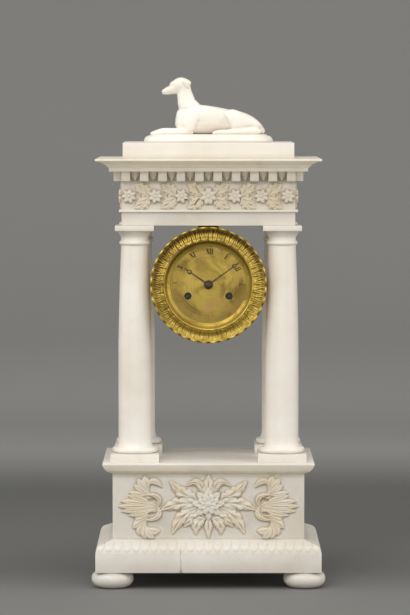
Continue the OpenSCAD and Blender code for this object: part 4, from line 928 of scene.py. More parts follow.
def die_field(x, z):
    """Carving of the die: height as a share of the full relief, tone, and dirt with painted shade."""
    side = np.abs(x)
    high = z + (DIE_LOW.z + DIE_HIGH.z) / 2
    mass = 1 - ((side - 60) / 13.5) ** 2 - ((high - 79.5) / 14.5) ** 2
    fan = np.cos(20 * np.arctan2(high - 79.5, side - 46))
    h = 0.52 * np.sqrt(np.clip(mass, 0, 1)) * (0.76 + 0.24 * fan)
    for points, width, lobes in SPRAY_LEAVES:
        leaf = leaf_field(side, high, points, width, 0.72, lobes)
        h = np.maximum(h * np.where(leaf > 0.05, 0.75, 1.0), leaf)
    for points, width in SCROLL_FLUTES:
        flute = leaf_field(side, high, points, width, 0.72, belly=1.5, cup=0.12)
        h = np.maximum(h, flute)
    for points, width in SCROLL_FOLDS:
        h = np.maximum(h, leaf_field(side, high, points, width, 0.92, cup=0.0))
    # Painted shadow along the top under the cap, and painted shade in the drilled eyes of the scrolls
    dirt = 0.5 * np.clip((high - DIE_HIGH.z + 5.0) / 3.5, 0, 1)
    for ex, ez in SCROLL_EYES:
        eye = ((side - ex) / 4.0) ** 2 + ((high - ez - 0.12 * (ex - side)) / 1.75) ** 2
        h = np.where(eye < 1, h * np.clip(eye * 1.3 - 0.35, 0.0, 1), h)
        dirt = np.maximum(dirt, np.clip(1.25 - eye, 0, 0.9))
    h = np.maximum(h, rosette_field(x, high))
    tone = np.clip((np.hypot(x, high - SPRAY_Z) - 9) / 20, 0.0, 1)
    return h, tone, dirt


def rosette_field(x, high):
    """Height of the star rosette: two layers of leaves round an eye."""
    h = np.zeros(x.shape)
    layers = ((8, 0.0, 15.5, 9.0, 0.50), (8, 0.5, 11.0, 7.0, 0.72))
    for count, shift, reach, width, level in layers:
        for i in range(count):
            a = math.tau * (i + shift) / count
            tip = (reach * math.sin(a), SPRAY_Z + reach * math.cos(a))
            petal = leaf_field(x, high, [(0, SPRAY_Z), tip], width, 0.34, 2, belly=1.1)
            h = np.where(petal > 0.03, np.maximum(h * 0.92, petal + level), h)
    eye = np.clip(1 - (np.hypot(x, high - SPRAY_Z) / 3.0) ** 2, 0, 1)
    return np.where(eye > 0, np.maximum(h, 0.85 + 0.25 * np.sqrt(eye)), h)


# Slits in the front garland, left of its middle, painted dark as shade: both ends and half width
GARLAND_SLITS = (
    ((-22.4, 388.6), (-18.0, 385.6), 0.55),
    ((-23.2, 381.4), (-21.0, 381.6), 0.6),
    ((-13.0, 395.4), (-9.2, 388.0), 0.32),
    ((-13.4, 376.6), (-9.4, 382.4), 0.6),
)


def garland_field(flowers, pitch, middle, slits=()):
    """Field of a garland: star flowers with a pair of leaves between each, worn slits, and painted shade
    along its top and in the slits.
    """

    def field(x, z):
        side = np.abs(x)
        high = z + (FRIEZE_LOW.z + FRIEZE_HIGH.z) / 2
        h = np.zeros(x.shape)
        tone = np.ones(x.shape)
        # Painted shadow with dirt along the top, under the dentils
        dirt = np.clip((high - FRIEZE_HIGH.z + 3.6) / 2.5, 0, 0.8)
        for i in range(flowers):
            start = i * pitch + 6.2
            for up in (1, -1):
                rows = ((0, 0.6), (6, 8), (14, 11.4))
                points = [(start + along, middle + rise * up) for along, rise in rows]
                leaf = leaf_field(side, high, points, 14, 0.7, 4, flutes=2, belly=0.85, cup=0.3)
                h = np.maximum(h, leaf)
        for i in range(flowers + 1):
            radius = 8.6 if i == 0 else 7.2
            star = flower_field(side, high, (i * pitch, middle), radius, 0.6, 7, 0.35 + 0.5 * i)
            h = np.where(star > 0.02, np.maximum(h, star + 0.42), h)
            far = np.hypot(side - i * pitch, high - middle) / radius
            tone = np.minimum(tone, np.clip(far * 1.6 - 1.0, 0.1, 1))
        # The slits take painted shade, nearly black
        for a, b, half in slits:
            aside = along_spine(x, high, np.array([a, b]))[1]
            cut = np.clip(1.3 - np.abs(aside) / half, 0, 1)
            h = h * (1 - 0.85 * cut)
            dirt = np.maximum(dirt, 1.6 * cut)
        return h, tone, dirt

    return field


# The greyhound: each limb is a row of ovals [x, y, z above the base, half width, half height]

HOUND_CENTRE = (
    [[55.6, 0, 2, 2, 2], [52.5, 0, 4.2, 6, 4], [48, 0, 6.6, 9.5, 6.6], [40, 0, 9.4, 12, 9.8],
     [30, 0, 11.6, 13, 11.6], [18, 0, 13, 12, 12.4], [5, 0, 14.2, 12, 13.8], [-9, 0, 15, 12.5, 14.8],
     [-21, 0, 15, 11.8, 14.6], [-28, 0, 17.2, 9, 11.4], [-31, 0, 18.2, 6, 7.8], [-32.3, 0, 18.5, 2.5, 4]],
    [[-13, 0, 18, 11, 11.5], [-17.5, 0, 24.5, 9.6, 10.6], [-21.2, 0, 30.5, 7.8, 9.3],
     [-22.6, 0, 36, 6.6, 8.4], [-24.2, 0, 43, 5.8, 7.4], [-25.2, 0, 50, 5.6, 7]],
    [[-17.8, 0, 49.4, 2.2, 2.6], [-20.5, 0, 50.0, 4.8, 4.7], [-26.5, 0, 49.8, 6, 7.4],
     [-31.5, 0, 47.6, 5.5, 7.2], [-36, 0, 45.6, 4.6, 5.8], [-39.5, 0, 44.2, 3.7, 4.6],
     [-42.7, 0, 42.8, 3, 3.4], [-45.4, 0, 42.7, 2.3, 2.4], [-46.6, 0, 42.8, 1.2, 1.3]],
    [[21, 0, 13, 11, 9.2], [30, 0, 13, 14, 9.9], [38, 0, 11, 13, 8.8], [45, 0, 8.5, 9.5, 7],
     [50, 0, 6, 6, 4.6]],
    [[54, 0, 3, 2, 2], [51, 10, 2.4, 1.9, 1.9], [42, 18, 2, 1.8, 1.8], [30, 21, 1.7, 1.6, 1.6],
     [19, 20.5, 1.3, 1.1, 1.1]],
)
HOUND_SIDE = (
    [[-15.5, 8, 4.2, 3.6, 4.4], [-20, 8, 3.8, 3.7, 4.2], [-32, 7.6, 3, 3.2, 3.7], [-44, 7.2, 2.9, 3, 3.7],
     [-49, 7, 2.4, 3.1, 3.2], [-54, 6.9, 1.6, 3, 2.2], [-57.8, 6.8, 0.9, 1.6, 1.2]],
    [[-10, 8, 23, 3, 4], [-14, 9.2, 18, 4.6, 8], [-18, 9.8, 11, 4.8, 8], [-17.5, 9, 4.5, 4.2, 4.6]],
    [[50, 6, 6, 2.5, 4], [46, 7, 9, 5, 6], [38, 8.4, 11, 6.8, 8.6], [30, 9.4, 12, 7.6, 11.3],
     [23.5, 9.6, 12.4, 7.2, 12.9], [20, 10.2, 11, 4.4, 11.4]],
    [[52, 9.5, 3, 1.5, 2], [46, 11.5, 3.6, 3, 3.8], [36, 13.4, 3.2, 3.4, 3.2], [22, 14.4, 2.8, 3, 2.9],
     [11, 14.6, 2.4, 3, 2.6], [6, 14.6, 1.7, 2.3, 1.9], [4, 14.6, 1.1, 1.2, 1.1]],
    [[-26, 5.2, 53.6, 1, 1.2], [-23.4, 5.9, 52.2, 1.3, 2.1], [-21.0, 6.1, 49.6, 1.2, 2],
     [-20.0, 5.8, 46.4, 0.6, 1]],
)
# Sculpted spots of both sides: place, radius, how far out
HOUND_DENTS = (
    ((-36.3, 4.6, 49.0), 1.6, -0.9),
    ((-36.3, 5.2, 48.9), 0.75, 0.45),
    ((-39.4, 2.5, 48.8), 1.8, -0.5),
    ((-40.2, 0.8, 48.6), 2.4, -1.0),
    ((-37.2, 2.2, 51.2), 2.0, 0.8),
    ((-46.5, 1.6, 43.4), 0.7, -0.45),
    ((-31.0, 6.0, 44.5), 3.2, -0.6),
    ((14.5, 12.5, 12.0), 4.5, -0.6),
    ((-6.0, 12.5, 14.0), 5.0, -0.4),
)
# Sculpted lines of both sides: points, half width, depth
HOUND_CREASES = (
    ([(-47.0, 1.0, 41.6), (-42.0, 3.0, 41.4), (-37.0, 4.4, 42.6)], 0.6, 0.5),
    ([(18.3, 15.0, 3.0), (17.8, 14.5, 11.0), (18.3, 12.0, 19.0), (19.5, 7.0, 25.5)], 1.0, 0.85),
    ([(-12.6, 12.8, 0.0), (-12.8, 13.0, 7.0), (-9.5, 12.5, 14.0)], 1.1, 0.4),
    ([(-10.5, 12.0, 14.0), (-8.0, 10.0, 22.0)], 1.8, 0.2),
    ([(-31.0, 11.0, 7.2), (-24.0, 12.0, 8.0), (-20.0, 13.2, 8.6)], 0.9, 0.6),
    ([(7.0, 17.0, 5.2), (20.0, 17.4, 6.0), (33.0, 16.6, 7.0), (44.0, 13.5, 8.6)], 0.8, 0.7),
    ([(-25.0, 6.4, 52.0), (-21.5, 7.2, 50.5), (-19.5, 7.0, 47.5)], 0.55, 0.45),
    ([(-30.5, 4.0, 26.5), (-22.0, 8.5, 26.0), (-13.0, 6.0, 29.0)], 1.1, 0.4),
    ([(-57.5, 7.9, 1.6), (-52.0, 7.8, 3.8)], 0.45, 0.45),
    ([(-57.5, 5.9, 1.6), (-52.0, 5.9, 3.8)], 0.45, 0.45),
    ([(4.5, 15.4, 1.6), (9.5, 15.4, 4.6)], 0.45, 0.45),
    ([(4.5, 13.6, 1.6), (9.5, 13.6, 4.6)], 0.45, 0.45),
)


def smooth_rows(rows, steps=5):
    """More rows on a smooth curve through the given ones."""
    known = np.array(rows, float)
    out = []
    for i in range(len(known) - 1):
        before = known[max(i - 1, 0)]
        a = known[i]
        b = known[i + 1]
        after = known[min(i + 2, len(known) - 1)]
        for s in range(steps):
            t = s / steps
            bend = (2 * before - 5 * a + 4 * b - after) + t * (3 * (a - b) + after - before)
            out.append(a + 0.5 * t * ((b - before) + t * bend))
    return out + [known[-1]]


def add_limb(bm, rows, side=1):
    """A closed limb through its ovals; side -1 mirrors it."""
    rows = smooth_rows(rows)
    rings = []
    for i, row in enumerate(rows):
        way = Vector(rows[min(i + 1, len(rows) - 1)][:3] - rows[max(i - 1, 0)][:3]).normalized()
        across = (Vector((0, 1, 0)) - way * way.y).normalized()
        up = way.cross(across)
        middle = Vector(row[:3])

        def oval(angle, middle=middle, across=across, up=up, row=row):
            spot = middle + across * (row[3] * math.cos(angle)) + up * (row[4] * math.sin(angle))
            return Vector((spot.x, spot.y * side, spot.z))

        rings.append(add_ring(bm, 20, oval))
    loft(bm, rings)


def remeshed(bm, voxel, rounds):
    """A bmesh of one skin round all the closed shapes of another, smoothed."""
    bmesh.ops.recalc_face_normals(bm, faces=bm.faces)
    mesh = bpy.data.meshes.new("hound_limbs")
    bm.to_mesh(mesh)
    bm.free()
    piece = bpy.data.objects.new("hound_limbs", mesh)
    bpy.context.scene.collection.objects.link(piece)
    skin = piece.modifiers.new("One skin", "REMESH")
    skin.mode = "VOXEL"
    skin.voxel_size = voxel
    relax = piece.modifiers.new("Relax", "SMOOTH")
    relax.iterations = rounds
    relax.factor = 0.5
    seen = piece.evaluated_get(bpy.context.evaluated_depsgraph_get())
    skinned = bmesh.new()
    skinned.from_mesh(seen.to_mesh())
    seen.to_mesh_clear()
    bpy.data.objects.remove(piece)
    bpy.data.meshes.remove(mesh)
    return skinned


def sculpt_hound(bm):
    """Presses the eyes, the mouth, the folds of the limbs and the toes into the skin."""
    bm.normal_update()
    spots = np.array([v.co for v in bm.verts])
    normals = np.array([v.normal for v in bm.verts])
    mirrored = spots.copy()
    mirrored[:, 1] = np.abs(mirrored[:, 1])
    move = np.zeros(len(spots))
    for centre, radius, depth in HOUND_DENTS:
        far = np.linalg.norm(mirrored - np.array(centre), axis=1)
        move += depth * np.exp(-((far / radius) ** 2))
    for line, radius, depth in HOUND_CREASES:
        points = np.array(line)
        nearest = np.full(len(spots), 1e9)
        for a, b in zip(points, points[1:]):
            run = b - a
            u = np.clip(((mirrored - a) @ run) / (run @ run), 0, 1)
            nearest = np.minimum(nearest, np.linalg.norm(mirrored - (a + u[:, None] * run), axis=1))
        move -= depth * np.exp(-((nearest / radius) ** 2))
    # Dirt and painted shade in the pressed creases and dents
    hollow = bm.verts.layers.float.new("hollow")
    for v, spot, normal, shift in zip(bm.verts, spots, normals, move):
        v.co = spot + normal * shift
        v[hollow] = float(np.clip(-shift * 0.35, 0, 0.4))


# Grid cells of the carvings and how far they stand clear of their stone, in millimetres
DIE_CELL = 0.5
GARLAND_CELL = 0.42
RELIEF_PROUD = 0.04


# Operators


# Lights: name, place, height of the point looked at, width and height, power
LIGHTS = (
    ("key_light", (-0.8, -1.6, 1.7), 0.3, (1.2, 1.2), 19.5),
    ("top_light", (0.1, -0.3, 1.7), 0.3, (0.8, 0.8), 7),
    ("fill_light", (1.2, -2.1, 0.7), 0.25, (1.6, 1.6), 7),
    ("right_light", (1.9, -0.6, 0.85), 0.2, (1.6, 1.6), 17),
    ("side_light", (-1.9, -0.5, 0.9), 0.2, (1.6, 1.6), 16),
    ("low_light", (-0.1, -2.3, 0.24), 0.3, (1.4, 0.44), 9.5),
)


class PORTICO_OT_stage(bpy.types.Operator):
    """Floor with its backdrop, soft lights and the camera."""

    bl_idname = "portico_clock.stage"
    bl_label = "Stage"

    # The sweep of paper, in metres
    half_wide = 6
    front = -4
    back = 1.6
    bend = 0.8
    tall = 4

    def execute(self, context):
        scene = context.scene
        sweep = bpy.data.objects.new("studio_sweep", self.sweep_mesh())
        sweep.data.materials.append(self.paper_material())
        scene.collection.objects.link(sweep)
        for light in LIGHTS:
            self.add_light(*light)
        scene.view_settings.view_transform = "Standard"
        scene.world = bpy.data.worlds.new("studio_air")
        scene.world.use_nodes = True
        air = {"Color": (1.0, 0.99, 0.97, 1), "Strength": 0.36}
        set_values(scene.world.node_tree.nodes["Background"], air)
        self.add_camera(scene)
        return {"FINISHED"}

    def sweep_mesh(self):
        """A floor that bends up into a backdrop."""
        bm = bmesh.new()
        floor = bmesh.ops.create_grid(bm, x_segments=1, y_segments=1, size=1)["verts"]
        for v in floor:
            v.co = (v.co.x * self.half_wide, self.front if v.co.y < 0 else self.back, 0)
        far = [v for v in floor if v.co.y > 0]
        edge = [e for e in bm.edges if all(v in far for v in e.verts)]
        spun = bmesh.ops.spin(
            bm, geom=edge + far, cent=(0, self.back, self.bend), axis=(1, 0, 0), dvec=(0, 0, 0),
            angle=math.pi / 2, steps=16,
        )["geom_last"]
        top = [g for g in spun if isinstance(g, bmesh.types.BMEdge)]
        rise = bmesh.ops.extrude_edge_only(bm, edges=top)["geom"]
        raised_verts = [g for g in rise if isinstance(g, bmesh.types.BMVert)]
        bmesh.ops.translate(bm, vec=(0, 0, self.tall), verts=raised_verts)
        for face in bm.faces:
            face.smooth = True
            face.normal_update()
            if face.normal.dot(Vector((0, -1, 1))) < 0:
                face.normal_flip()
        mesh = bpy.data.meshes.new("studio_sweep")
        bm.to_mesh(mesh)
        bm.free()
        return mesh

    @staticmethod
    def paper_material():
        """Plain paper with painted light and shadow: lighter in front of the clock, darker at the floor's
        back, lighter towards and at the foot of the backdrop; clear to a camera behind it.
        """
        stage = settings("stage")
        material, tree, shader = new_material("studio_paper", {"Roughness": 0.75})
        place = object_place(tree)
        at = split_axes(tree, place)
        # Painted light and shadow: the floor is lighter in front of the clock and darker behind it, turns
        # to the lighter backdrop colour towards the back, and the backdrop is lighter at its foot
        far = remap(tree, at["Y"], 0.72, 1.3)
        painted_light_near = remap(tree, at["Y"], 0.06, -0.14)
        rising = calculate(tree, "MAXIMUM", far, remap(tree, at["Z"], 0.0, 0.14))
        floor = blend_colour(tree, painted_light_near, dimmed(stage.floor, 0.93), dimmed(stage.floor, 1.2))
        low = remap(tree, at["Z"], 0.11, 0.0)
        back = blend_colour(tree, low, dimmed(stage.backdrop, 0.91), dimmed(stage.backdrop, 1.18))
        shade = blend_colour(tree, rising, floor, back)
        fibre = remap(tree, noise(tree, place, 3.0, 3.0), 0.3, 0.7, 0.0, 0.04)
        shade = blend_colour(tree, fibre, shade, (0.1, 0.1, 0.1))
        tree.links.new(shade, shader.inputs["Base Color"])
        clear = add_node(tree, "ShaderNodeBsdfTransparent")
        either = add_node(tree, "ShaderNodeMixShader")
        behind = add_node(tree, "ShaderNodeNewGeometry").outputs["Backfacing"]
        for socket, source in zip(either.inputs, (behind, shader.outputs[0], clear.outputs[0])):
            tree.links.new(source, socket)
        tree.links.new(either.outputs[0], tree.nodes["Material Output"].inputs["Surface"])
        return material

    @staticmethod
    def add_light(name, place, target_z, size, power):
        """A soft box that looks at a point above the middle of the floor."""
        data = bpy.data.lights.new(name, "AREA")
        data.shape = "RECTANGLE"
        data.size, data.size_y = size
        data.energy = power
        lamp = bpy.data.objects.new(name, data)
        lamp.location = place
        way = Vector((0, 0, target_z)) - Vector(place)
        lamp.rotation_euler = way.to_track_quat("-Z", "Y").to_euler()
        bpy.context.scene.collection.objects.link(lamp)

    @staticmethod
    def add_camera(scene):
        """The camera of the photo."""
        stage = settings("stage")
        data = bpy.data.cameras.new("studio_camera")
        data.lens = stage.lens
        data.sensor_width = 36
        camera = bpy.data.objects.new("studio_camera", data)
        camera.location = (-stage.camera_aside, -stage.camera_back, stage.camera_height)
        camera.rotation_euler = (math.pi / 2 - stage.camera_pitch, 0, 0)
        scene.collection.objects.link(camera)
        scene.camera = camera


class PORTICO_OT_effects(bpy.types.Operator):
    """Shader groups that the materials share."""

    bl_idname = "portico_clock.effects"
    bl_label = "Shared effects"

    def execute(self, context):
        stone_group()
        grime_and_shade_group()
        patina_group()
        return {"FINISHED"}


class PORTICO_OT_feet(bpy.types.Operator):
    """Four turned bun feet."""

    bl_idname = "portico_clock.feet"
    bl_label = "Feet"

    def execute(self, context):
        for corner in CORNERS:
            low, high = box_mm("foot_" + corner)
            bm = bmesh.new()
            hollow = bm.verts.layers.float.new("hollow")
            middle = (low + high) / 2
            add_spin(bm, foot_profile(low, high), 72, (middle.x, middle.y, low.z))
            # Painted shadow: the top of each foot is darkened where it meets the plinth
            for v in bm.verts:
                v[hollow] = 0.9 * held((v.co.z - high.z + 3.4) / 2.6)
            finish_piece("bun_foot_" + corner, bm, "alabaster_foot", ["foot_" + corner])
        return {"FINISHED"}


class PORTICO_OT_pedestal(bpy.types.Operator):
    """Plinth with its leaf band, the die and the moulded cap."""

    bl_idname = "portico_clock.pedestal"
    bl_label = "Pedestal"

    def execute(self, context):
        arris = settings("stone").arris / MM
        slope_z = PLINTH_LOW.z + PLINTH_FACE_H
        rise = PLINTH_HIGH.z - slope_z
        run = PLINTH_HIGH.x - DIE_HIGH.x
        steps = [(0, PLINTH_LOW.z), (0, slope_z)]
        steps += [(-run * back, slope_z + rise * up) for back, up in PLINTH_CURVE[1:]]
        wide, deep = PLINTH_HIGH.xy
        build_stone("plinth_slab", "plinth", "alabaster_plinth", wide, deep, steps, arris, 60)
        bm = bmesh.new()
        pitch = settings("carving").leaf_pitch / MM
        for side, half, face in (
            ((0, -1), wide, deep), ((0, 1), wide, deep), ((-1, 0), deep, wide), ((1, 0), deep, wide)
        ):
            count = round(2 * half / pitch)
            add_leaf_band(bm, side, run, half, face, 2 * half / count)
        bmesh.ops.recalc_face_normals(bm, faces=bm.faces)
        finish_piece("plinth_leaf_band", bm, "alabaster_plinth", sharp=80)
        bm = bmesh.new()
        # Painted shadow with dirt along the die's top, under the cap
        add_shaded_block(bm, DIE_HIGH.x, DIE_HIGH.y, DIE_LOW.z, DIE_HIGH.z, 5.0, 0.5)
        soften(bm, arris, 60)
        finish_piece("die_block", bm, "alabaster_die", ["die"])
        out = CAP_HIGH.x - DIE_HIGH.x
        low = CAP_LOW.z
        lip = CAP_HIGH.z - 1.7
        steps = [(0, low), (0.5, low + 0.4), (out * 0.46, low + 2.3), (out * 0.64, low + 3.7)]
        steps += [(out * 0.85, low + 6.2), (out - 0.5, lip - 0.9), (out, lip), (out, CAP_HIGH.z)]
        build_stone("cap_moulding", "cap_slab", "alabaster_cap", DIE_HIGH.x, DIE_HIGH.y, steps, arris, 60)
        return {"FINISHED"}


class PORTICO_OT_die_carving(bpy.types.Operator):
    """Rosette, leaf spray and scrolls on the front of the die."""

    bl_idname = "portico_clock.die_carving"
    bl_label = "Die carving"

    def execute(self, context):
        relief = settings("carving").die_relief / MM
        middle = (DIE_LOW.z + DIE_HIGH.z) / 2

        def place(x, z, h):
            return x, DIE_LOW.y - h - RELIEF_PROUD, z + middle

        def field(x, z):
            return raised(die_field(x, z), relief)

        bm = bmesh.new()
        add_relief(bm, 2 * DIE_HIGH.x - 2, DIE_HIGH.z - DIE_LOW.z - 0.6, DIE_CELL, field, place)
        bmesh.ops.reverse_faces(bm, faces=[f for f in bm.faces if f.normal.y > 0])
        finish_piece("die_relief", bm, "alabaster_carving", ["die_carving"], 80)
        return {"FINISHED"}


class PORTICO_OT_columns(bpy.types.Operator):
    """Four turned columns with their blocks and abaci."""

    bl_idname = "portico_clock.columns"
    bl_label = "Columns"

    def execute(self, context):
        arris = settings("stone").arris / MM
        for corner, (x, y) in CORNERS.items():
            low, high = box_mm("column_" + corner)
            middle = (low + high) / 2
            middle.x -= x * self.inset(y)
            bm = bmesh.new()
            add_spin(bm, column_profile(high.z - low.z), 96, (middle.x, middle.y, low.z))
            finish_piece("turned_column_" + corner, bm, "alabaster_shaft", ["column_" + corner])
        for node in ("column_plinths", "column_abaci"):
            low, high = box_mm(node)
            column = box_mm("column_front_right")
            centre = (column[0] + column[1]) / 2
            half = high.x - centre.x
            bm = bmesh.new()
            for x, y in CORNERS.values():
                spot = (x * (centre.x - self.inset(y)), y * abs(centre.y))
                add_block(bm, half, half, [(0, low.z), (0, high.z)], spot)
            soften(bm, arris)
            finish_piece("stone_" + node, bm, "alabaster_block", [node])
        return {"FINISHED"}

    @staticmethod
    def inset(depth_side):
        """How far a column of the front or the rear row stands in."""
        return REAR_INSET if depth_side > 0 else 0.0


class PORTICO_OT_entablature(bpy.types.Operator):
    """Architrave, frieze, dentils with their tongues, cornice and attic block."""

    bl_idname = "portico_clock.entablature"
    bl_label = "Entablature"

    def execute(self, context):
        arris = settings("stone").arris / MM
        half_w = FRIEZE_HIGH.x
        half_d = FRIEZE_HIGH.y
        low, high = ARCHITRAVE_LOW.z, ARCHITRAVE_HIGH.z
        out = ARCHITRAVE_HIGH.x - half_w
        fillet = high - 2.6
        steps = [(0, low), (0, fillet), (out, fillet + 0.3), (out, high)]
        build_stone("architrave_beam", "architrave", "alabaster_block", half_w, half_d, steps, arris)
        bm = bmesh.new()
        # Painted shadow with dirt along the frieze's top, under the dentils
        add_shaded_block(bm, half_w, half_d, FRIEZE_LOW.z, FRIEZE_HIGH.z, 3.6, 1.0)
        finish_piece("frieze_block", bm, "alabaster_frieze", ["frieze"])
        self.add_dentils(arris)
        z = CORNICE_LOW.z
        low_out = 12.1
        tip_out = CORNICE_HIGH.x - half_w
        lip = CORNICE_HIGH.z - 1.7
        steps = [(low_out, z), (low_out, z + 3.4), (low_out + 0.5, z + 3.8), (low_out + 3.3, z + 6.1)]
        steps += [(low_out + 3.7, z + 6.8), (low_out + 8.2, z + 8.9), (low_out + 8.5, z + 9.3)]
        steps += [(tip_out - 0.5, lip - 0.4), (tip_out, lip), (tip_out, CORNICE_HIGH.z)]
        build_stone(
            "cornice_moulding", "cornice", "alabaster_cornice", half_w, half_d, steps, arris * 0.5, 60
        )
        steps = [(0, ATTIC_LOW.z), (0, ATTIC_HIGH.z)]
        build_stone(
            "attic_stone", "attic_block", "alabaster_attic", ATTIC_HIGH.x, ATTIC_HIGH.y, steps, arris * 1.3
        )
        return {"FINISHED"}

    @staticmethod
    def add_dentils(arris):
        """A core with a row of dentils and hanging tongues on each side."""
        half_w = FRIEZE_HIGH.x
        half_d = FRIEZE_HIGH.y
        width = 8.6
        out = DENTIL_HIGH.x - half_w
        low, high = DENTIL_LOW.z, DENTIL_HIGH.z
        bm = bmesh.new()
        hollow = bm.verts.layers.float.new("hollow")
        add_block(bm, half_w, half_d, [(0, low), (0, high)])
        # Painted shade with dirt in the gaps between the dentils, on the core
        for v in bm.verts:
            v[hollow] = 0.9
        tongues = bmesh.new()
        for turn, half, face in each_side(half_w, half_d):
            count = 10 if half == half_w else 7
            pitch = (2 * half - width) / (count - 1)
            for i in range(count):
                x = -half + width / 2 + pitch * i
                before = len(bm.verts)
                add_block(bm, width / 2, out / 2 + 0.5, [(0, low), (0, high)], (x, -face - out / 2 + 0.5))
                bmesh.ops.transform(bm, matrix=turn, verts=bm.verts[before:])
                if i < count - 1:
                    spot = turn @ Matrix.Translation((x + pitch / 2, -face - 1.4, high))
                    add_dentil_tongue(tongues, pitch - width - 0.2, high - low - 0.5, spot)
        soften(bm, arris * 0.8)
        finish_piece("dentil_row", bm, "alabaster_dentil", ["dentil_course"])
        bmesh.ops.solidify(tongues, geom=tongues.faces[:], thickness=-0.4)
        bmesh.ops.recalc_face_normals(tongues, faces=tongues.faces)
        finish_piece("dentil_tongues", tongues, "alabaster_tongue", sharp=60)


class PORTICO_OT_garlands(bpy.types.Operator):
    """Flower garlands on the front and the sides of the frieze."""

    bl_idname = "portico_clock.garlands"
    bl_label = "Frieze garlands"

    def execute(self, context):
        relief = settings("carving").garland_relief / MM
        middle = (FRIEZE_LOW.z + FRIEZE_HIGH.z) / 2
        flower_z = FRIEZE_LOW.z + 0.47 * (FRIEZE_HIGH.z - FRIEZE_LOW.z)
        tall = FRIEZE_HIGH.z - FRIEZE_LOW.z - 0.4
        half_w = FRIEZE_HIGH.x
        half_d = FRIEZE_HIGH.y
        sides = (
            ("frieze_garland_front", 3, half_w, [(0, half_d)]),
            ("frieze_garland_sides", 2, half_d, [(-90, half_w), (90, half_w)]),
        )
        for node, flowers, half, turns in sides:
            bm = bmesh.new()
            slits = GARLAND_SLITS if flowers == 3 else ()
            field = garland_field(flowers, (half - 7.3) / flowers, flower_z, slits)
            for degrees, face in turns:
                c = math.cos(math.radians(degrees))
                s = math.sin(math.radians(degrees))

                def place(x, z, h, c=c, s=s, face=face):
                    deep = -face - h - RELIEF_PROUD
                    return x * c - deep * s, x * s + deep * c, z + middle

                add_relief(
                    bm, 2 * half - 0.4, tall, GARLAND_CELL, lambda x, z: raised(field(x, z), relief), place
                )
            outward = Vector((1, 0, 0)) if flowers == 2 else Vector((0, -1, 0))
            for f in bm.faces:
                away = f.calc_center_median().dot(outward) * f.normal.dot(outward)
                if away < 0:
                    f.normal_flip()
            name = node.replace("frieze_", "carved_")
            finish_piece(name, bm, "alabaster_garland", [node], 80)
        return {"FINISHED"}


class PORTICO_OT_greyhound(bpy.types.Operator):
    """Reclining greyhound on its rounded base."""

    bl_idname = "portico_clock.greyhound"
    bl_label = "Greyhound"

    voxel = 0.62
    smoothings = 6
    sunk = 0.4

    def execute(self, context):
        base_h = 7.7
        bm = bmesh.new()
        for rows in HOUND_CENTRE:
            add_limb(bm, rows)
        for rows in HOUND_SIDE:
            add_limb(bm, rows, 1)
            add_limb(bm, rows, -1)
        bm = remeshed(bm, self.voxel, self.smoothings)
        sculpt_hound(bm)
        below = bmesh.ops.bisect_plane(
            bm, geom=bm.verts[:] + bm.edges[:] + bm.faces[:], plane_co=(0, 0, -0.6), plane_no=(0, 0, 1),
            clear_inner=True,
        )["geom_cut"]
        bmesh.ops.edgeloop_fill(bm, edges=[g for g in below if isinstance(g, bmesh.types.BMEdge)])
        bmesh.ops.translate(bm, vec=(0, 0, FIGURE_LOW.z + base_h - self.sunk), verts=bm.verts)
        finish_piece("carved_greyhound", bm, "alabaster_figure", ["greyhound_figure"], sharp=80)
        bm = bmesh.new()
        end = (FIGURE_HIGH.y - FIGURE_LOW.y) / 2
        half = (FIGURE_HIGH.x - FIGURE_LOW.x) / 2 - end
        steps = [(end - 0.5, 0), (end - 0.1, 0.5)]
        steps += [(end - 6.4 + 6.4 * math.cos(a), 0.9 + 5.7 * math.sin(a)) for a in arc(0, 84, 12)]
        steps += [(end - 6.2, base_h - 1.0), (end - 6.5, base_h - 0.3), (end - 7.2, base_h)]
        rings = []
        for r, z in steps:

            def stadium(angle, r=r, z=z):
                x = r * math.cos(angle)
                return Vector((x + math.copysign(half, x), r * math.sin(angle), FIGURE_LOW.z + z))

            rings.append(add_ring(bm, 90, stadium))
        loft(bm, rings)
        bmesh.ops.recalc_face_normals(bm, faces=bm.faces)
        finish_piece("figure_base", bm, "alabaster_figure")
        return {"FINISHED"}


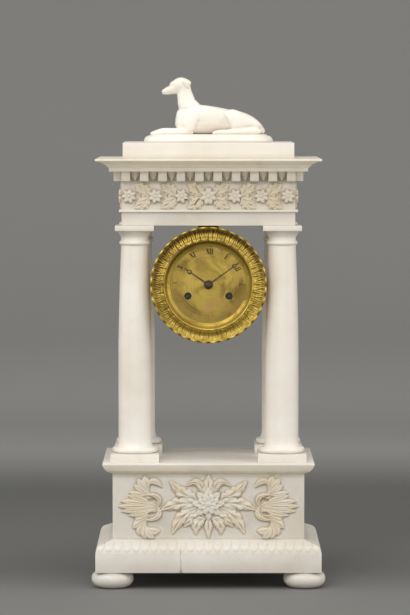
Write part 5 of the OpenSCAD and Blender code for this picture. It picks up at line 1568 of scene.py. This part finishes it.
class PORTICO_OT_bezel(bpy.types.Operator):
    """Cast leaf bezel with its smooth slip round the dial."""

    bl_idname = "portico_clock.bezel"
    bl_label = "Bezel"

    beads = 36
    steps_per_leaf = 24
    bore = 43.1
    inner = 43.3
    seen = 37.5
    seat = 3.0
    # Rows of the slip next to the leaves, painted darker at the top and paler below as painted shade and
    # light
    shaded_rows = 4

    def execute(self, context):
        leaves = settings("carving").bezel_leaves
        wall, bead, band, slip = self.profile_parts()
        profile = np.array(wall + bead + band + slip)
        lean = np.gradient(profile, axis=0)
        lean /= np.hypot(lean[:, 0], lean[:, 1])[:, None]
        rim_from = len(wall)
        band_from = rim_from + len(bead)
        slip_from = band_from + len(band)
        rows = len(profile) - 1
        bm = bmesh.new()
        hollow = bm.verts.layers.float.new("hollow")
        bmesh.ops.create_grid(bm, x_segments=leaves * self.steps_per_leaf, y_segments=rows, size=0.5)
        for v in bm.verts:
            turn = v.co.x + 0.5
            angle = turn * math.tau
            row = round((v.co.y + 0.5) * rows)
            # Patina in the hollows with painted shade; place makes it stronger or weaker by side as painted
            # light and shade
            lift, dirt, place = 0.0, 0.0, 1.0
            if rim_from <= row < band_from:
                lift, dirt = self.bead_height(turn * self.beads, (row - rim_from) / (len(bead) - 1))
            elif band_from <= row < slip_from:
                lift, dirt = self.leaf_height(turn * leaves, (row - band_from) / (len(band) - 1))
                # Painted shade: more patina on the leaves towards the top, less towards the bottom
                place = 0.98 + 0.42 * math.cos(angle + 0.2)
            elif row >= slip_from:
                # The slip: patina with painted shade, darker towards the bottom; its rows next to the
                # leaves take painted shadow at the top and painted light below
                dirt = 0.5
                place = 1.0 - 0.2 * math.cos(angle)
                if row < slip_from + self.shaded_rows:
                    place = 0.75 + 0.75 * math.cos(angle + 0.4)
            radius = profile[row, 0] + lift * lean[row, 1]
            height = profile[row, 1] - lift * lean[row, 0]
            v[hollow] = dirt * place
            v.co = (radius * math.sin(angle), BEZEL_HIGH.y - height, DIAL_Z + radius * math.cos(angle))
        bmesh.ops.remove_doubles(bm, verts=bm.verts, dist=1e-3)
        bmesh.ops.recalc_face_normals(bm, faces=bm.faces)
        finish_piece("leaf_bezel", bm, "gilt_bezel", ["bezel"], 60)
        return {"FINISHED"}

    def profile_parts(self):
        """Radius and height along the wall, the beaded rim, the hollow of the leaves and the slip."""
        r = (BEZEL_HIGH.x - BEZEL_LOW.x) / 2
        depth = BEZEL_HIGH.y - BEZEL_LOW.y
        rim = depth - 1.9
        wall = [(self.bore, 0.0), (r - 2.2, 0.0), (r - 0.6, 0.8), (r - 0.2, 2.0), (r - 0.2, rim - 1.6)]
        bead = [(r - 0.9 + 0.9 * math.cos(a), rim - 1.0 + 0.9 * math.sin(a)) for a in arc(0, 150, 10)]
        outer = r - 2.1
        inner, seen, seat = self.inner, self.seen, self.seat
        band = []
        for i in range(41):
            t = i / 40
            sag = 2.9 * math.sin(math.pi * t)
            band.append((outer + (inner + 0.9 - outer) * t, rim - 0.7 + (depth - rim + 0.4) * t - sag))
        slip = [(inner + 0.5, depth - 0.1), (inner, depth - 0.3), (inner - 0.4, depth - 0.9)]
        slip += [(40.9, seat + 2.7), (40.5, seat + 2.2), (40.0, seat + 2.2), (39.7, seat + 1.8)]
        slip += [(38.0, seat + 1.4), (seen + 0.2, seat + 1.3), (seen, seat + 1.0), (seen, seat)]
        slip.append((self.bore, seat))
        return wall, bead, band, slip

    @staticmethod
    def bead_height(turn, share):
        """Height of the beads on the rim and the patina with painted shade between them."""
        bead = (0.5 - 0.5 * math.cos(math.tau * turn)) ** 0.9
        over = math.sin(math.pi * share)
        return 0.45 * bead * over - 0.45 * (1 - bead) * over, 1.25 * (1 - bead)

    @staticmethod
    def leaf_height(turn, share):
        """Height of the cast leaves in the hollow, and the patina with painted shade between them and
        towards the outer edge.
        """
        unit = math.floor(turn)
        u = turn - unit - 0.5
        odd = abs(math.sin(unit * 12.9898) * 43758.5453) % 1
        tip = 0.96 - 0.36 * u * u - 0.05 * odd
        ends = min(1.0, share * 10)
        past = held((share - tip) * 16)
        gap = math.exp(-(((abs(u) - 0.5) / 0.045) ** 2))
        vein = math.exp(-((u / 0.05) ** 2)) * (1 - 0.4 * share)
        flute = 0.5 - 0.5 * math.cos(math.tau * (4 * abs(u) + (0.5 + odd) * share))
        curl = math.exp(-(((share - tip + 0.09) / 0.08) ** 2)) * (1 - 3 * u * u)
        body = 0.6 + 0.2 * odd - 0.38 * gap - 0.3 * vein - 0.36 * flute + 0.2 * curl
        dirt = 0.45 * gap + 0.4 * vein + 0.5 * flute - 0.15 * curl + 0.75 * (1 - share) ** 2 + 0.25 * odd
        lift = ends * body * (1 - past) - 0.15 * past
        return lift, held(dirt * (1 - past) + 0.85 * past)


class PORTICO_OT_dial(bpy.types.Operator):
    """Engraved numerals and circles on the gilt dial, and painted shade round the winding holes."""

    bl_idname = "portico_clock.dial"
    bl_label = "Dial"

    # Winding holes with a ring of painted shade round each, and engraved circles: radius and width
    hole = 2.4
    hole_edge = 1.2
    circles = ((25.2, 0.3), (26.2, 0.2), (29.2, 0.16), (36.6, 0.22))
    # The numerals stand a little clockwise, with their feet on a circle
    lean = math.radians(2)
    foot_radius = 30.2
    tall = 5.6
    thick = 0.95
    thin = 0.36
    serif = 0.22
    proud = 0.035
    numerals = ("XII", "I", "II", "III", "IIII", "V", "VI", "VII", "VIII", "IX", "X", "XI")

    def execute(self, context):
        bm = bmesh.new()
        for hour, letters in enumerate(self.numerals):
            turn = Matrix.Rotation(math.tau * hour / 12 + self.lean, 4, "Y")
            self.add_numeral(bm, letters, turn)
        finish_piece("dial_numerals", bm, "numeral_wax")
        bm = bmesh.new()
        for radius, width in self.circles:
            self.add_annulus(bm, (0, DIAL_Z), radius, radius + width)
        finish_piece("dial_circles", bm, "engraved_line")
        bm = bmesh.new()
        # Rings of painted shade round the winding holes, as their dark inside
        for arbor in ("going_arbor", "strike_arbor"):
            low, high = box_mm(arbor)
            middle = (low + high) / 2
            self.add_annulus(bm, (middle.x, middle.z), self.hole, self.hole + self.hole_edge)
        finish_piece("winding_hole_edges", bm, "hole_black")
        return {"FINISHED"}

    def add_annulus(self, bm, centre, inner, outer):
        """A flat ring on the face of the dial."""
        middle = Vector((centre[0], DIAL_FACE - 0.03, centre[1]))
        rings = []
        for r in (inner, outer):

            def place(angle, r=r):
                return middle + Vector((r * math.cos(angle), 0, r * math.sin(angle)))

            rings.append(add_ring(bm, 120, place))
        made = bmesh.ops.bridge_loops(bm, edges=rings[0] + rings[1])["faces"]
        bm.normal_update()
        for face in made:
            if face.normal.y > 0:
                face.normal_flip()

    def add_numeral(self, bm, letters, turn):
        """One Roman numeral of thick and thin strokes with serifs, its top to the rim."""
        tall, thick, thin = self.tall, self.thick, self.thin
        widths = {"I": 1.75, "V": 3.3, "X": 3.5}
        x = -sum(widths[c] for c in letters) / 2
        for c in letters:
            end = x + widths[c]
            mid = x + widths[c] / 2
            strokes = {
                "I": [((mid, 0), (mid, tall), thick)],
                "V": [((x + 0.5, tall), (mid, 0), thick), ((end - 0.4, tall), (mid, 0), thin)],
                "X": [((x + 0.5, tall), (end - 0.5, 0), thick), ((end - 0.4, tall), (x + 0.4, 0), thin)],
            }[c]
            strokes += [((x + 0.12, height), (end - 0.12, height), self.serif) for height in (0, tall)]
            for a, b, wide in strokes:
                self.add_stroke(bm, Vector(a), Vector(b), wide, turn)
            x = end
        bm.normal_update()

    def add_stroke(self, bm, a, b, wide, turn):
        """One straight stroke between two points of an upright numeral, turned to its hour."""
        run = b - a
        made = bmesh.ops.create_grid(bm, x_segments=1, y_segments=1, size=0.5)["verts"]
        place = (
            Matrix.Translation((0, DIAL_FACE - self.proud, DIAL_Z))
            @ turn
            @ Matrix.Translation(((a.x + b.x) / 2, 0, self.foot_radius + (a.y + b.y) / 2))
            @ Matrix.Rotation(math.atan2(run.x, run.y), 4, "Y")
            @ Matrix.Rotation(math.pi / 2, 4, "X")
            @ Matrix.Diagonal((wide, run.length, 1, 1))
        )
        bmesh.ops.transform(bm, matrix=place, verts=made)


class PORTICO_OT_movement(bpy.types.Operator):
    """Finishes of the drum, the movement, the hands and the hidden fixings."""

    bl_idname = "portico_clock.movement"
    bl_label = "Drum and movement"

    finishes = {
        "dial": "gilt_dial",
        # The arbor ends are painted dark as the shade inside the winding holes
        "going_arbor": "arbor_end",
        "strike_arbor": "arbor_end",
        # The hanger is painted dark as the shadow in the gap above the bezel
        "drum_hanger": "dull_brass",
    }
    by_slot = {
        "brass": "lacquered_brass",
        "gilt_brass": "gilt_bell",
        "steel": "bright_steel",
        "blued_steel": "hand_steel",
        "iron": "dark_iron",
        "dowel_wood": "dowel_beech",
        "alabaster": "alabaster_block",
        "carved_stone": "alabaster_carving",
    }

    def execute(self, context):
        for part in frame["record"]["subparts"]:
            node = frame["nodes"][part["node"]]
            name = self.finishes.get(part["node"], self.by_slot[part["material_slot"]])
            node.data.materials.clear()
            node.data.materials.append(material_named(name))
        return {"FINISHED"}


class PORTICO_PT_panel(bpy.types.Panel):
    """Settings and steps of the portico clock."""

    bl_idname = "PORTICO_PT_panel"
    bl_label = "Portico Clock"
    bl_space_type = "VIEW_3D"
    bl_region_type = "UI"
    bl_category = "Portico Clock"

    def draw(self, context):
        for kind, group in SETTINGS.items():
            box = self.layout.box()
            box.label(text=group.__doc__)
            for name in group.__annotations__:
                box.prop(settings(kind), name)
        for step in STEPS:
            self.layout.operator(step.bl_idname)


SETTINGS = {
    "stone": StoneSettings,
    "metal": MetalSettings,
    "carving": CarvingSettings,
    "stage": StageSettings,
}
STEPS = (
    PORTICO_OT_stage,
    PORTICO_OT_effects,
    PORTICO_OT_feet,
    PORTICO_OT_pedestal,
    PORTICO_OT_die_carving,
    PORTICO_OT_columns,
    PORTICO_OT_entablature,
    PORTICO_OT_garlands,
    PORTICO_OT_greyhound,
    PORTICO_OT_bezel,
    PORTICO_OT_dial,
    PORTICO_OT_movement,
)


def register():
    """Adds the settings, the steps and the panel."""
    for kind, group in SETTINGS.items():
        bpy.utils.register_class(group)
        setattr(bpy.types.Scene, "portico_clock_" + kind, bpy.props.PointerProperty(type=group))
    for step in STEPS:
        bpy.utils.register_class(step)
    bpy.utils.register_class(PORTICO_PT_panel)


def unregister():
    """Takes away what register added."""
    bpy.utils.unregister_class(PORTICO_PT_panel)
    for step in reversed(STEPS):
        bpy.utils.unregister_class(step)
    for kind, group in SETTINGS.items():
        delattr(bpy.types.Scene, "portico_clock_" + kind)
        bpy.utils.unregister_class(group)


def main():
    """Builds the dressed clock step by step."""
    register()
    for step in STEPS:
        space, name = step.bl_idname.split(".")
        getattr(getattr(bpy.ops, space), name)()


if __name__ == "__main__":
    main()
